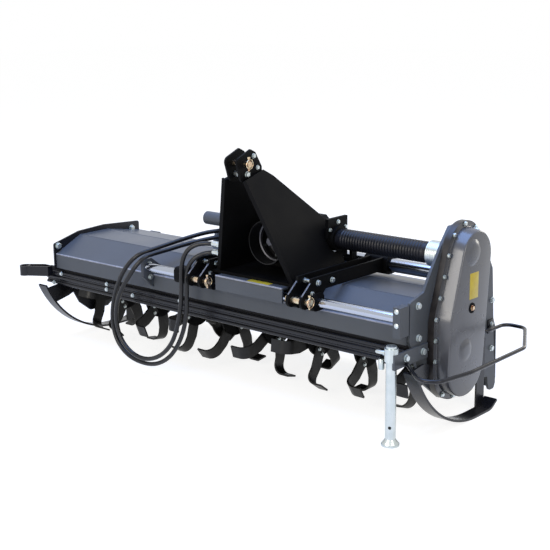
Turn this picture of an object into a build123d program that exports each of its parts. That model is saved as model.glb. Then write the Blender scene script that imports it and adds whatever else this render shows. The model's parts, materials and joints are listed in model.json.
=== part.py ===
from build123d import *
import math
import os

# Rotary tiller with a headstock that shifts sideways on two guide tubes.
# +X points to the gear-case end, -Y forward to the tractor, +Z up. The floor is Z = 0.
# Every size is in millimetres.

# ---- rotor -------------------------------------------------------------------------------
TINE_R = 238.0              # reach of the tines from the rotor axis
TINE_FLOOR_GAP = 17.0       # floor to the lowest tine
ROTOR_Z = TINE_FLOOR_GAP + TINE_R
ROTOR_TUBE_R = 44.5
ROTOR_STUB_R = 25.0
ROTOR_END_GAP = 8.0         # rotor tube to the plates at its ends
FLANGE_R = 100.0
FLANGE_T = 10.0
FLANGE_PITCH = 255.0
FLANGE_COUNT = 8
FLANGE_END_GAP = 117.0      # side plate to the first flange
TINES_PER_SIDE = 3
TINE_T = 8.0
TINE_W = 62.0
TINE_SIDE = 94.0            # how far a tine's blade reaches along the rotor from its flange
TINE_ROOT_R = 56.0
TINE_RELIEF = 10.0          # the blade's back is this much nearer the axis than its edge
TINE_LAG = 48.0             # how far a tine's tip trails its root
TINE_BEND_R = 40.0
HELIX_STEP = 22.0           # turn from one flange to the next, degrees
BEARING_HOLE_R = 46.0
BEARING_R = 70.0
BEARING_L = 44.0
BEARING_PLATE_T = 12.0
BEARING_GAP = 0.05

# ---- frame -------------------------------------------------------------------------------
LEFT_X = -1123.0            # outer face of the left end plate
RIGHT_X = 1018.0            # outer face of the right side plate
END_PLATE_T = 8.0
SIDE_PLATE_T = 12.0
HOOD_T = 6.0
HOOD_GAP = 31.0             # tine tips to the underside of the hood
HOOD_TOP_Z = ROTOR_Z + TINE_R + HOOD_GAP + HOOD_T
HOOD_FRONT_Y = -264.0
RIDGE_FRONT_Y = -104.0
RIDGE_REAR_Y = 78.0
HOOD_REAR_Y = 300.0
FRONT_DROP = 75.0           # ridge down to the top of the front face
REAR_DROP = 38.0            # ridge down to the rear edge
FRONT_FACE_H = 72.0
BEAM_W = 40.0
BEAM_H = 62.0
BEAM_WALL = 6.0
END_PLATE_RISE = 26.0       # how far the left end plate stands above the hood

# ---- gear case ---------------------------------------------------------------------------
DRIVE_Y = 36.0
DRIVE_Z = HOOD_TOP_Z + 155.0
GEAR_TOP_R = 126.0
GEAR_TOP_Y = DRIVE_Y + 39.0
GEAR_TOP_Z = DRIVE_Z + 15.0
GEAR_LOW_R = 150.0
GEAR_LOW_Y = 13.0           # middle of the case's lower half
GEAR_SHOULDER_Z = ROTOR_Z + 185.0
HOUSING_T = 16.0
COVER_FLANGE_T = 14.0
COVER_DEPTH = 62.0
COVER_INSET = 17.0          # flange edge to the foot of the cover's wall
COVER_TOP_LEAN = 5.0        # how much the cover's wall leans in at the drive end
COVER_SHOULDER_LEAN = 16.0  # at the shoulder
COVER_LOW_LEAN = 6.0        # and at the rotor end
COVER_TOP_SINK = 12.0       # top of the cover's face below the middle of the flange's top
COVER_CHAMFER = 8.0
DOME_R = 60.0
DOME_H = 14.0
DOME_RISE = 30.0            # drive axis up to the middle of the dome
IDLER_BOSS_R = 46.0
IDLER_BOSS_H = 8.0
COLLAR_R = 52.0
COLLAR_L = 72.0

# ---- guide tubes -------------------------------------------------------------------------
FRONT_TUBE_R = 20.0
FRONT_TUBE_Y = HOOD_FRONT_Y - 36.0
FRONT_TUBE_Z = HOOD_TOP_Z - 33.0
REAR_TUBE_R = 30.0
REAR_TUBE_Y = 205.0
REAR_TUBE_Z = HOOD_TOP_Z + 30.0
TUBE_LEFT_X = -404.0        # left ends of the guide tubes
TUBE_WALL = 6.0
BRACKET_T = 16.0
TUBE_SEAT_L = 33.0          # block that takes the front tube's right end
TUBE_SEAT_WALL = 5.0
TUBE_SEAT_DROP = 72.0       # tube axis to the block's lower end
TUBE_SEAT_RISE = 48.0
SLIDE_GAP = 0.3

# ---- headstock ---------------------------------------------------------------------------
HEAD_X = 260.0              # centre of the headstock at rest
SHIFT_LEFT = 130.0
SHIFT_RIGHT = 300.0
EAR_X = 284.0               # headstock centre to the middle of a lower clevis
EAR_GAP = 58.0
EAR_T = 12.0
LOWER_PIN_R = 14.0
LOWER_PIN_Y = -358.0
LOWER_PIN_Z = HOOD_TOP_Z - 24.0
EAR_NOSE_R = 32.0
TOP_PIN_R = 12.7
TOP_PIN_Y = -388.0
TOP_PIN_Z = LOWER_PIN_Z + 535.0
TOP_GAP = 52.0
TOP_NOSE_R = 24.0
TOP_PLATE_T = 10.0
SLEEVE_HALF = 36.0          # half width of a front sleeve block
REAR_SLEEVE_HALF = 40.0
SLEEVE_L = 120.0
LEFT_SLEEVE_EXTRA = 110.0   # the left front sleeve is longer outwards
BASE_T = 12.0
BASE_GAP = 8.0              # hood ridge to the base plate
BASE_Z = HOOD_TOP_Z + BASE_GAP
CROSSBEAM_T = 8.0
CROSSBEAM_H = 64.0
CROSSBEAM_HALF_X = 188.0
MAST_T = 12.0
MAST_LIP = 20.0             # folded lip along the front edge of an A-frame plate
MAST_TOP_X = TOP_GAP / 2 + TOP_PLATE_T + 0.5
MAST_TOP_Z = TOP_PIN_Z - 36.0
MAST_SPLAY = 0.351          # sideways run of an A-frame plate per unit of height

# ---- gearbox, PTO and shift cylinder -------------------------------------------------------
GEARBOX_HALF_X = 96.0
GEARBOX_FRONT_Y = -92.0
GEARBOX_REAR_Y = 104.0
GEARBOX_TOP_Z = DRIVE_Z + 85.0
GEARBOX_CHAMFER = 18.0
NECK_R = 56.0
NECK_END_X = 196.0          # headstock centre to the start of the bellows
NECK_PLATE_X = 164.0        # and to the plate that bolts the neck to the A-frame
NECK_PLATE_T = 16.0
GUARD_TUBE_R = 31.0
GUARD_TUBE_END_X = -600.0
BELLOWS_R = 45.0
BELLOWS_WALL = 4.0
HUB_R = 70.0
HUB_L = 28.0
PTO_R = 17.4
PTO_SEAL_R = 22.0
PTO_END_Y = -205.0
PTO_GUARD_R = 94.0
PTO_GUARD_T = 4.0
PTO_GUARD_FRONT_Y = -232.0
CYL_Y = 142.0
CYL_Z = HOOD_TOP_Z + 116.0
CYL_R = 30.0
CYL_BORE_R = 24.0
CYL_ROD_R = 14.0
CYL_CAP = 14.0
CYL_ROD_IN = 85.0           # headstock centre to the rod's inner end at rest
CYL_POST_T = 14.0
HOSE_R = 10.0
HOSE_FITTING_R = 11.0
HOSE_FITTING_L = 25.0
HOSE_PORT_RISE = 12.0       # cylinder axis to the axis of each port on its end

# ---- skids, guard, stand, rail, tailboard --------------------------------------------------
SKID_W = 60.0
SKID_T = 10.0
SKID_WEB_T = 8.0
SKID_RIGHT_GAP = 24.0        # side plate to the right skid
SKID_R = 484.0               # inside of the runner's long front curve
SKID_HEEL_R = 60.0
SKID_NOSE_Z = 292.0
SKID_FLAT_Y = 120.0          # where the front curve ends and the flat sole starts
SKID_SOLE_Y = 236.0          # where the sole turns up to the heel
SKID_HEEL_L = 47.0
SKID_HEEL_RISE = 30.0
SKID_LINK_Y = 228.0
SKID_LINK_W = 60.0
SKID_LINK_TOP_Z = 300.0
HOOP_R = 8.0
HOOP_Z = ROTOR_Z + 67
HOOP_OUT_X = 1284.5
STAND_R = 21.2
STAND_INSET = 18.0          # outer face of the side plate to the stand's axis
STAND_CLEARANCE = 6.0       # stand to the block on the front tube's end
STAND_X = RIGHT_X - STAND_INSET
STAND_Y = FRONT_TUBE_Y - FRONT_TUBE_R - TUBE_SEAT_WALL - STAND_CLEARANCE - STAND_R
FOOT_R = 36.0
FOOT_T = 8.0
SOCKET_WALL = 5.0
SOCKET_H = 50.0
STAND_ARM_T = 10.0
STAND_ARM_FRONT_Y = STAND_Y - 18.0
SOCKET_TOP_Z = HOOD_TOP_Z - FRONT_DROP - FRONT_FACE_H + 9
STAND_TOP_Z = SOCKET_TOP_Z + 10
STAND_LIFT = 220.0
SPARE_OUT = 135.0           # left end plate to the spare socket
SPARE_X = LEFT_X - SPARE_OUT
RAIL_DROP = 17.0            # lower edge of the hood's front face to the rail
RAIL_H = 66.0
RAIL_LEFT_OUT = 67.0        # how far the rail runs past the left end plate
RAIL_T = 4.0
RAIL_OUT = 8.0              # rail in front of the hood's front face
RAIL_RIB = 7.0              # depth of the rail's two long grooves
RAIL_LIP = 28.0
RAIL_BEND_R = 1.5
HINGE_R = 10.0
TAIL_T = 5.0
TAIL_FLOOR_GAP = 28.0


def yz_plate(face, x, thickness):
    """Extrude a face drawn in (Y, Z) from x towards +X."""
    return extrude(Plane.YZ.offset(x) * face, amount=thickness, dir=(1, 0, 0))


def rod_x(radius, x0, x1, y, z):
    """A round bar along X."""
    bar = Cylinder(radius, x1 - x0, align=(Align.CENTER, Align.CENTER, Align.MIN))
    return Pos(x0, y, z) * Rot(0, 90, 0) * bar


def rod_y(radius, y0, y1, x, z):
    """A round bar along Y."""
    bar = Cylinder(radius, y1 - y0, align=(Align.CENTER, Align.CENTER, Align.MIN))
    return Pos(x, y0, z) * Rot(-90, 0, 0) * bar


def box(x0, x1, y0, y1, z0, z1):
    """A block between two corners."""
    return Pos((x0 + x1) / 2, (y0 + y1) / 2, (z0 + z1) / 2) * Box(x1 - x0, y1 - y0, z1 - z0)


def folded(points, thickness, bend):
    """A face for a folded sheet: the points are its left-hand side, with rounded bends.

    The bend is the inside radius, one for all corners or a list with one for each.
    """
    count = len(points)
    bends = bend if isinstance(bend, list) else [bend] * (count - 2)
    inner = []
    radii_outer = []
    radii_inner = []
    for i, (u, v) in enumerate(points):
        before = points[max(i - 1, 0)]
        after = points[min(i + 1, count - 1)]
        first = math.atan2(v - before[1], u - before[0])
        second = math.atan2(after[1] - v, after[0] - u)
        if i == 0:
            first = second
        if i == count - 1:
            second = first
        turn = math.remainder(second - first, 2 * math.pi)
        middle = first + turn / 2 - math.pi / 2
        reach = thickness / math.cos(turn / 2)
        inner.append((u + reach * math.cos(middle), v + reach * math.sin(middle)))
        if 0 < i < count - 1:
            inside = bends[i - 1]
            radii_outer.append(inside + thickness if turn < 0 else inside)
            radii_inner.append(inside if turn < 0 else inside + thickness)
    outer_line = FilletPolyline(*points, radius=radii_outer)
    inner_line = FilletPolyline(*inner, radius=radii_inner)
    ends = [Line(points[0], inner[0]), Line(points[-1], inner[-1])]
    return make_face(outer_line.edges() + inner_line.edges() + ends)


def hull(circles):
    """The outline round a row of circles given as (y, z, radius)."""
    edges = []
    for y, z, radius in circles:
        edges += (Pos(y, z) * Circle(radius)).edges()
    return make_hull(edges)


def hood_height(y):
    """Height of the hood's top surface at y."""
    if y < RIDGE_FRONT_Y:
        return HOOD_TOP_Z - FRONT_DROP * (RIDGE_FRONT_Y - y) / (RIDGE_FRONT_Y - HOOD_FRONT_Y)
    if y > RIDGE_REAR_Y:
        return HOOD_TOP_Z - REAR_DROP * (y - RIDGE_REAR_Y) / (HOOD_REAR_Y - RIDGE_REAR_Y)
    return HOOD_TOP_Z


# ---- frame -------------------------------------------------------------------------------
FACE_TOP_Z = HOOD_TOP_Z - FRONT_DROP
FACE_LOW_Z = FACE_TOP_Z - FRONT_FACE_H
REAR_EDGE_Z = HOOD_TOP_Z - REAR_DROP
INNER_LEFT_X = LEFT_X + END_PLATE_T
INNER_RIGHT_X = RIGHT_X - SIDE_PLATE_T
SOCKET_R = STAND_R + SLIDE_GAP + SOCKET_WALL
SIDE_FRONT_Y = HOOD_FRONT_Y + HOOD_T


def hood():
    line = [
        (HOOD_FRONT_Y, FACE_LOW_Z),
        (HOOD_FRONT_Y, FACE_TOP_Z),
        (RIDGE_FRONT_Y, HOOD_TOP_Z),
        (RIDGE_REAR_Y, HOOD_TOP_Z),
        (HOOD_REAR_Y, REAR_EDGE_Z),
    ]
    return yz_plate(folded(line, HOOD_T, 4), INNER_LEFT_X, INNER_RIGHT_X - INNER_LEFT_X)


def front_beam():
    y0 = HOOD_FRONT_Y + HOOD_T
    z0 = FACE_LOW_Z
    outer = box(INNER_LEFT_X, INNER_RIGHT_X, y0, y0 + BEAM_W, z0, z0 + BEAM_H)
    bore = box(
        INNER_LEFT_X, INNER_RIGHT_X,
        y0 + BEAM_WALL, y0 + BEAM_W - BEAM_WALL,
        z0 + BEAM_WALL, z0 + BEAM_H - BEAM_WALL,
    )
    return outer - bore


def left_end_plate():
    rise = END_PLATE_RISE
    rail_back = HOOD_FRONT_Y - RAIL_OUT + RAIL_LIP + 7
    outline = Polygon(
        (HOOD_FRONT_Y - 10, FACE_LOW_Z + 1),
        (HOOD_FRONT_Y - 10, FACE_TOP_Z + 2 * rise),
        (RIDGE_FRONT_Y - 8, HOOD_TOP_Z + rise - 8),
        (RIDGE_REAR_Y - 20, HOOD_TOP_Z + rise),
        (HOOD_REAR_Y, REAR_EDGE_Z + 2 * rise - 4),
        (HOOD_REAR_Y, ROTOR_Z + 60),
        (120, ROTOR_Z - 90),
        (60, ROTOR_Z - 135),
        (-60, ROTOR_Z - 135),
        (-130, ROTOR_Z - 80),
        (HOOD_FRONT_Y + 39, FACE_LOW_Z - 38),
        (rail_back, FACE_LOW_Z + 1),
        align=None,
    )
    outline = fillet(outline.vertices(), 12)
    plate = yz_plate(outline, LEFT_X, END_PLATE_T)
    return plate - rod_x(BEARING_HOLE_R, LEFT_X, INNER_LEFT_X, 0, ROTOR_Z)


def rotor_bearing():
    plate_x = LEFT_X - BEARING_PLATE_T
    body = rod_x(BEARING_R, plate_x, LEFT_X, 0, ROTOR_Z)
    body += rod_x(BEARING_R - 18, LEFT_X - BEARING_L, plate_x, 0, ROTOR_Z)
    bore = rod_x(ROTOR_STUB_R + BEARING_GAP, LEFT_X - BEARING_L + 8, LEFT_X, 0, ROTOR_Z)
    return body - bore


def right_side_plate():
    outline = Polygon(
        (SIDE_FRONT_Y, FACE_LOW_Z + 14),
        (SIDE_FRONT_Y, HOOD_TOP_Z + 22),
        (-164, HOOD_TOP_Z + 47),
        (-117, HOOD_TOP_Z + 120),
        (GEAR_TOP_Y - 122, GEAR_TOP_Z + 45),
        (GEAR_TOP_Y - 64, GEAR_TOP_Z + GEAR_TOP_R - 15),
        (GEAR_TOP_Y + 64, GEAR_TOP_Z + GEAR_TOP_R - 12),
        (GEAR_TOP_Y + 163, GEAR_TOP_Z + 52),
        (GEAR_TOP_Y + 224, GEAR_TOP_Z - 30),
        (353, DRIVE_Z - 106),
        (386, 211),
        (406, 60),
        (394, 36),
        (360, 36),
        (346, 60),
        (338, 105),
        (-40, 112),
        (-170, 210),
        align=None,
    )
    outline = fillet(outline.vertices(), 10)
    plate = yz_plate(outline, INNER_RIGHT_X, SIDE_PLATE_T)
    return plate - rod_x(BEARING_HOLE_R, INNER_RIGHT_X, RIGHT_X, 0, ROTOR_Z)


def gear_outline(inset):
    return hull([
        (GEAR_TOP_Y, GEAR_TOP_Z, GEAR_TOP_R - inset),
        (GEAR_LOW_Y, GEAR_SHOULDER_Z, GEAR_LOW_R - inset),
        (GEAR_LOW_Y, ROTOR_Z, GEAR_LOW_R - inset),
    ])


def gear_housing():
    body = yz_plate(gear_outline(0), RIGHT_X, HOUSING_T)
    bore = rod_x(ROTOR_STUB_R + BEARING_GAP, RIGHT_X, RIGHT_X + HOUSING_T - 3, 0, ROTOR_Z)
    return body - bore


def cover_face():
    """Outline of the cover's face, where its leaning wall ends."""
    return hull([
        (GEAR_TOP_Y, GEAR_TOP_Z - COVER_TOP_SINK, GEAR_TOP_R - COVER_INSET - COVER_TOP_LEAN),
        (GEAR_LOW_Y, GEAR_SHOULDER_Z, GEAR_LOW_R - COVER_INSET - COVER_SHOULDER_LEAN),
        (GEAR_LOW_Y, ROTOR_Z, GEAR_LOW_R - COVER_INSET - COVER_LOW_LEAN),
    ])


def gear_cover():
    """Pan with a leaning wall on a bolted flange, with the drive's dome and the idler's boss."""
    x0 = RIGHT_X + HOUSING_T
    foot = x0 + COVER_FLANGE_T
    top = foot + COVER_DEPTH
    flange = yz_plate(gear_outline(2), x0, COVER_FLANGE_T)
    wall = [Plane.YZ.offset(foot) * gear_outline(COVER_INSET), Plane.YZ.offset(top) * cover_face()]
    pan = loft(wall, ruled=True)
    pan = chamfer(pan.faces().sort_by(Axis.X)[-1].edges(), COVER_CHAMFER)
    dome = rod_x(DOME_R, top - 5, top + DOME_H, DRIVE_Y, DRIVE_Z + DOME_RISE)
    dome = chamfer(dome.faces().sort_by(Axis.X)[-1].edges(), DOME_H / 2)
    boss = rod_x(IDLER_BOSS_R, top - 5, top + IDLER_BOSS_H, 0, ROTOR_Z + 66)
    boss = chamfer(boss.faces().sort_by(Axis.X)[-1].edges(), IDLER_BOSS_H / 2)
    return flange + pan + dome + boss


def drive_collar():
    x0 = INNER_RIGHT_X - COLLAR_L
    ring = rod_x(COLLAR_R, x0, INNER_RIGHT_X, DRIVE_Y, DRIVE_Z)
    return ring - rod_x(COLLAR_R - 8, x0, INNER_RIGHT_X - 8, DRIVE_Y, DRIVE_Z)


def guide_tube(radius, y, z):
    tube = rod_x(radius, TUBE_LEFT_X, INNER_RIGHT_X, y, z)
    return tube - rod_x(radius - TUBE_WALL, TUBE_LEFT_X, INNER_RIGHT_X, y, z)


def front_tube_bracket():
    """Plate that carries the front tube's left end on the hood's front edge."""
    foot = HOOD_FRONT_Y
    outline = Polygon(
        (foot, FACE_LOW_Z + 12),
        (FRONT_TUBE_Y - 26, FRONT_TUBE_Z - 46),
        (FRONT_TUBE_Y - 26, FRONT_TUBE_Z + 38),
        (FRONT_TUBE_Y + 26, FRONT_TUBE_Z + 38),
        (foot + 60, hood_height(foot + 60)),
        (foot, FACE_TOP_Z),
        align=None,
    )
    return yz_plate(outline, TUBE_LEFT_X - BRACKET_T, BRACKET_T)


def rear_tube_bracket():
    """Plate that carries the rear tube's left end on the hood's rear slope."""
    y0 = REAR_TUBE_Y - 60
    y1 = REAR_TUBE_Y + 60
    outline = Polygon(
        (y0, hood_height(y0)),
        (REAR_TUBE_Y - 34, REAR_TUBE_Z + 36),
        (REAR_TUBE_Y + 34, REAR_TUBE_Z + 36),
        (y1, hood_height(y1)),
        align=None,
    )
    return yz_plate(outline, TUBE_LEFT_X - BRACKET_T, BRACKET_T)


def right_tube_bracket():
    """Block in front of the hood's right end that takes the front tube's end."""
    x0 = RIGHT_X - TUBE_SEAT_L
    y0 = FRONT_TUBE_Y - FRONT_TUBE_R - TUBE_SEAT_WALL
    block = box(x0, RIGHT_X, y0, HOOD_FRONT_Y,
                FRONT_TUBE_Z - TUBE_SEAT_DROP, FRONT_TUBE_Z + TUBE_SEAT_RISE)
    return block - rod_x(FRONT_TUBE_R, x0, INNER_RIGHT_X, FRONT_TUBE_Y, FRONT_TUBE_Z)


def front_rail():
    """Ribbed rail in front of the rotor, hung from the front beam by its folded upper edge."""
    y0 = HOOD_FRONT_Y - RAIL_OUT
    y1 = y0 + RAIL_RIB
    top = FACE_LOW_Z - RAIL_DROP
    low = top - RAIL_H
    step = RAIL_H / 6
    line = [
        (y0 + RAIL_LIP, low), (y0, low),
        (y0, low + step), (y1, low + 1.5 * step), (y1, low + 2 * step), (y0, low + 2.5 * step),
        (y0, low + 3.5 * step), (y1, low + 4 * step), (y1, low + 4.5 * step), (y0, low + 5 * step),
        (y0, top), (y0 + RAIL_LIP, top), (y0 + RAIL_LIP, FACE_LOW_Z),
    ]
    section = folded(line, RAIL_T, RAIL_BEND_R)
    x0 = LEFT_X - RAIL_LEFT_OUT
    return yz_plate(section, x0, INNER_RIGHT_X - x0)


def skid_line():
    """Underside of a runner in (y, z), from its heel to its nose."""
    turn = math.acos(1 - SKID_NOSE_Z / (SKID_R + SKID_T))
    reach = (SKID_R + SKID_T) * math.tan(turn / 2)
    corner = SKID_FLAT_Y - reach
    nose = reach + 6
    return [(SKID_SOLE_Y + SKID_HEEL_L, SKID_HEEL_RISE), (SKID_SOLE_Y, 0), (corner, 0),
            (corner - nose * math.cos(turn), nose * math.sin(turn))]


def skid_front_y(z):
    """Middle of the runner's front curve at height z."""
    middle = SKID_R + SKID_T / 2
    return SKID_FLAT_Y - math.sqrt(middle ** 2 - (SKID_R + SKID_T - z) ** 2)


def skid(x0, web_x, web_end):
    """A sledge runner with a front web to Y = web_end and a rear link, in the plane at web_x."""
    strap = yz_plate(folded(skid_line(), SKID_T, [SKID_HEEL_R, SKID_R]), x0, SKID_W)
    web = Polygon(
        (skid_front_y(286), 286), (skid_front_y(240), 240), (skid_front_y(205), 205),
        (-190, 224), (web_end, 250), (web_end, 292), (-200, 302),
        align=None,
    )
    strap += yz_plate(web, web_x, SKID_WEB_T)
    rear = SKID_LINK_Y + SKID_LINK_W / 2
    seat = SKID_T / 2
    link = Polygon(
        (SKID_LINK_Y - SKID_LINK_W / 2, seat), (SKID_SOLE_Y, seat),
        (rear, seat + (rear - SKID_SOLE_Y) * SKID_HEEL_RISE / SKID_HEEL_L),
        (rear, SKID_LINK_TOP_Z), (SKID_LINK_Y - SKID_LINK_W / 2, SKID_LINK_TOP_Z),
        align=None,
    )
    return strap + yz_plate(link, web_x, SKID_WEB_T)


def skid_left():
    return skid(LEFT_X - SKID_W, LEFT_X - SKID_WEB_T, -126)


def skid_right():
    x0 = RIGHT_X + SKID_RIGHT_GAP
    body = skid(x0, x0, -166)
    body += rod_x(14, RIGHT_X, x0, SKID_LINK_Y, 150)
    body += rod_x(14, RIGHT_X, x0, -184, 272)
    return body


def hoop_guard():
    """Round bar round the gear case, from the stand's arm to the side plate."""
    out = HOOP_OUT_X - HOOP_R
    path = FilletPolyline(
        (RIGHT_X - 20, -262), (RIGHT_X + 165, -436), (out - 30, -396), (out, -230),
        (out, 175), (RIGHT_X + 122, 428), (RIGHT_X + 26, 431), (RIGHT_X + 22, 300),
        (RIGHT_X - 30, 244),
        radius=[60, 40, 200, 70, 50, 40, 30],
    )
    start = Plane(origin=path @ 0, z_dir=path % 0)
    bar = Pos(0, 0, HOOP_Z) * sweep(start * Circle(HOOP_R), path=path)
    front = box(RIGHT_X + STAND_ARM_T, HOOP_OUT_X + 50, -900, 0, 0, 900)
    rear = box(RIGHT_X, HOOP_OUT_X + 50, 0, 900, 0, 900)
    return bar & (front + rear)


def stand():
    tube = Cylinder(STAND_R, STAND_TOP_Z - FOOT_T, align=(Align.CENTER, Align.CENTER, Align.MIN))
    leg = Pos(STAND_X, STAND_Y, FOOT_T) * tube
    foot = Pos(STAND_X, STAND_Y, 0) * Cylinder(
        FOOT_R, FOOT_T, align=(Align.CENTER, Align.CENTER, Align.MIN))
    return leg + foot


def socket(x):
    outer = Cylinder(STAND_R + SLIDE_GAP + SOCKET_WALL, SOCKET_H)
    bore = Cylinder(STAND_R + SLIDE_GAP, SOCKET_H)
    return Pos(x, STAND_Y, SOCKET_TOP_Z - SOCKET_H / 2) * (outer - bore)


def stand_bracket():
    """Socket for the parking stand on an arm along the outside of the side plate."""
    end = GEAR_LOW_Y - GEAR_LOW_R - 8
    arm = box(RIGHT_X, RIGHT_X + STAND_ARM_T, STAND_ARM_FRONT_Y, end,
              HOOP_Z - HOOP_R - 2, SOCKET_TOP_Z - 20)
    bore = Pos(STAND_X, STAND_Y, 0) * Cylinder(STAND_R + SLIDE_GAP, 2000)
    return (socket(STAND_X) + arm) - bore


def spare_bracket():
    """Box arm from the rail's end to the empty socket for a second stand."""
    rail_y = HOOD_FRONT_Y - RAIL_OUT
    x1 = LEFT_X - RAIL_LEFT_OUT
    outline = Polygon(
        (x1 + 50, rail_y), (x1 - 8, rail_y), (SPARE_X - 16, STAND_Y + 22),
        (SPARE_X, STAND_Y), (SPARE_X + 24, STAND_Y - 8), (x1 + 50, rail_y - 30),
        align=None,
    )
    low = SOCKET_TOP_Z - SOCKET_H
    arm = extrude(Plane.XY.offset(low) * outline, amount=SOCKET_H, dir=(0, 0, 1))
    hollow = offset(outline, -SOCKET_WALL, kind=Kind.INTERSECTION)
    arm -= extrude(Plane.XY.offset(low) * hollow, amount=SOCKET_H, dir=(0, 0, 1))
    bore = Pos(SPARE_X, STAND_Y, 0) * Cylinder(STAND_R + SLIDE_GAP, 2000)
    return (socket(SPARE_X) + arm) - bore


HINGE_Y = HOOD_REAR_Y + 20
HINGE_Z = REAR_EDGE_Z - 18
HINGE_LUGS = 5
KNUCKLE_R = HINGE_R + 7


def hinge_lug_places():
    """Middle of each lug along the hinge rod."""
    first = INNER_LEFT_X + 60
    pitch = (INNER_RIGHT_X - 60 - first) / (HINGE_LUGS - 1)
    return [first + pitch * i for i in range(HINGE_LUGS)]


def tail_hinge():
    """Hinge rod behind the hood's rear edge, on lugs that stand on a strip under the edge."""
    body = rod_x(HINGE_R, INNER_LEFT_X, INNER_RIGHT_X, HINGE_Y, HINGE_Z)
    fall = REAR_DROP / (HOOD_REAR_Y - RIDGE_REAR_Y)
    under = REAR_EDGE_Z - HOOD_T * math.hypot(1, fall) - 0.02
    outline = Polygon(
        (HOOD_REAR_Y - 60, under + 60 * fall),
        (HOOD_REAR_Y - 2, under + 2 * fall),
        (HINGE_Y + 4, HINGE_Z + HINGE_R - 2),
        (HINGE_Y, HINGE_Z - HINGE_R + 1),
        (HINGE_Y - 6, HINGE_Z - HINGE_R + 3),
        align=None,
    )
    for x in hinge_lug_places():
        body += yz_plate(outline, x - 5, 10)
    return body


def tailboard():
    """Curved rear board that hangs on the hinge rod by knuckles beside the lugs."""
    y0 = HINGE_Y + HINGE_R + 5 + TAIL_T
    line = [(y0, HINGE_Z + 4), (y0 + 40, HINGE_Z - 70), (y0 + 90, HINGE_Z - 186),
            (y0 + 99, 60), (y0 + 79, TAIL_FLOOR_GAP)]
    x0 = INNER_LEFT_X + 6
    body = yz_plate(folded(line, TAIL_T, 40), x0, INNER_RIGHT_X - 6 - x0)
    for x in hinge_lug_places()[:-1]:
        body += rod_x(KNUCKLE_R, x + 12, x + 72, HINGE_Y, HINGE_Z)
    return body - rod_x(HINGE_R + BEARING_GAP, x0, INNER_RIGHT_X, HINGE_Y, HINGE_Z)


# ---- headstock ---------------------------------------------------------------------------
def arm(side):
    """One lower hitch arm: two plates joined by the front and rear sleeves."""
    centre = HEAD_X + side * EAR_X
    nose = Pos(LOWER_PIN_Y, LOWER_PIN_Z) * Circle(EAR_NOSE_R)
    base = BASE_Z
    outline = Polygon(
        (LOWER_PIN_Y - 24, LOWER_PIN_Z + 21),
        (LOWER_PIN_Y + 36, BASE_Z + 40),
        (LOWER_PIN_Y + 36, BASE_Z + 56),
        (120, BASE_Z + 56),
        (REAR_TUBE_Y + 30, REAR_TUBE_Z + 36),
        (REAR_TUBE_Y + 50, REAR_TUBE_Z),
        (REAR_TUBE_Y, REAR_TUBE_Z - 20),
        (110, base),
        (-230, base),
        (-272, LOWER_PIN_Z - 10),
        (LOWER_PIN_Y + 14, LOWER_PIN_Z - 32),
        align=None,
    )
    outline += nose
    half = EAR_GAP / 2
    body = yz_plate(outline, centre - half - EAR_T, EAR_T)
    body += yz_plate(outline, centre + half, EAR_T)
    x0 = centre - SLEEVE_L / 2
    x1 = centre + SLEEVE_L / 2
    front = Pos(FRONT_TUBE_Y, FRONT_TUBE_Z) * RectangleRounded(2 * SLEEVE_HALF, 2 * SLEEVE_HALF, 20)
    extra = LEFT_SLEEVE_EXTRA if side < 0 else 0
    body += yz_plate(front, x0 - extra, centre - half - x0 + extra)
    body += yz_plate(front, centre + half, x1 - centre - half)
    rear = Pos(REAR_TUBE_Y, REAR_TUBE_Z)
    rear *= RectangleRounded(2 * REAR_SLEEVE_HALF, 2 * REAR_SLEEVE_HALF, 24)
    body += yz_plate(rear, x0, x1 - x0)
    body -= rod_x(FRONT_TUBE_R + SLIDE_GAP, x0 - 200, x1 + 200, FRONT_TUBE_Y, FRONT_TUBE_Z)
    body -= rod_x(REAR_TUBE_R + SLIDE_GAP, x0 - 200, x1 + 200, REAR_TUBE_Y, REAR_TUBE_Z)
    pin_hole = rod_x(LOWER_PIN_R, x0 - 100, x1 + 100, LOWER_PIN_Y, LOWER_PIN_Z)
    return body - pin_hole


ARM_INNER_X = EAR_X - EAR_GAP / 2 - EAR_T     # headstock centre to an arm's inner face
HOSE_END_X = 46.0           # face of the fittings on the left A-frame plate


def base_plate():
    y1 = REAR_TUBE_Y - REAR_SLEEVE_HALF - 3
    return box(HEAD_X - ARM_INNER_X, HEAD_X + ARM_INNER_X, -305, y1, BASE_Z, BASE_Z + BASE_T)


def front_crossbeam():
    """Folded beam along the front of the base plate, short of the lower pins' heads."""
    y0 = FRONT_TUBE_Y - SLEEVE_HALF - CROSSBEAM_T - 2
    line = [(y0, BASE_Z - CROSSBEAM_H), (y0, BASE_Z), (-305, BASE_Z)]
    section = folded(line, CROSSBEAM_T, 5)
    return yz_plate(section, HEAD_X - CROSSBEAM_HALF_X, 2 * CROSSBEAM_HALF_X)


def mast_x(z):
    """Distance from the headstock centre to an A-frame plate's inner face at height z."""
    return MAST_TOP_X + MAST_SPLAY * (MAST_TOP_Z - z)


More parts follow.
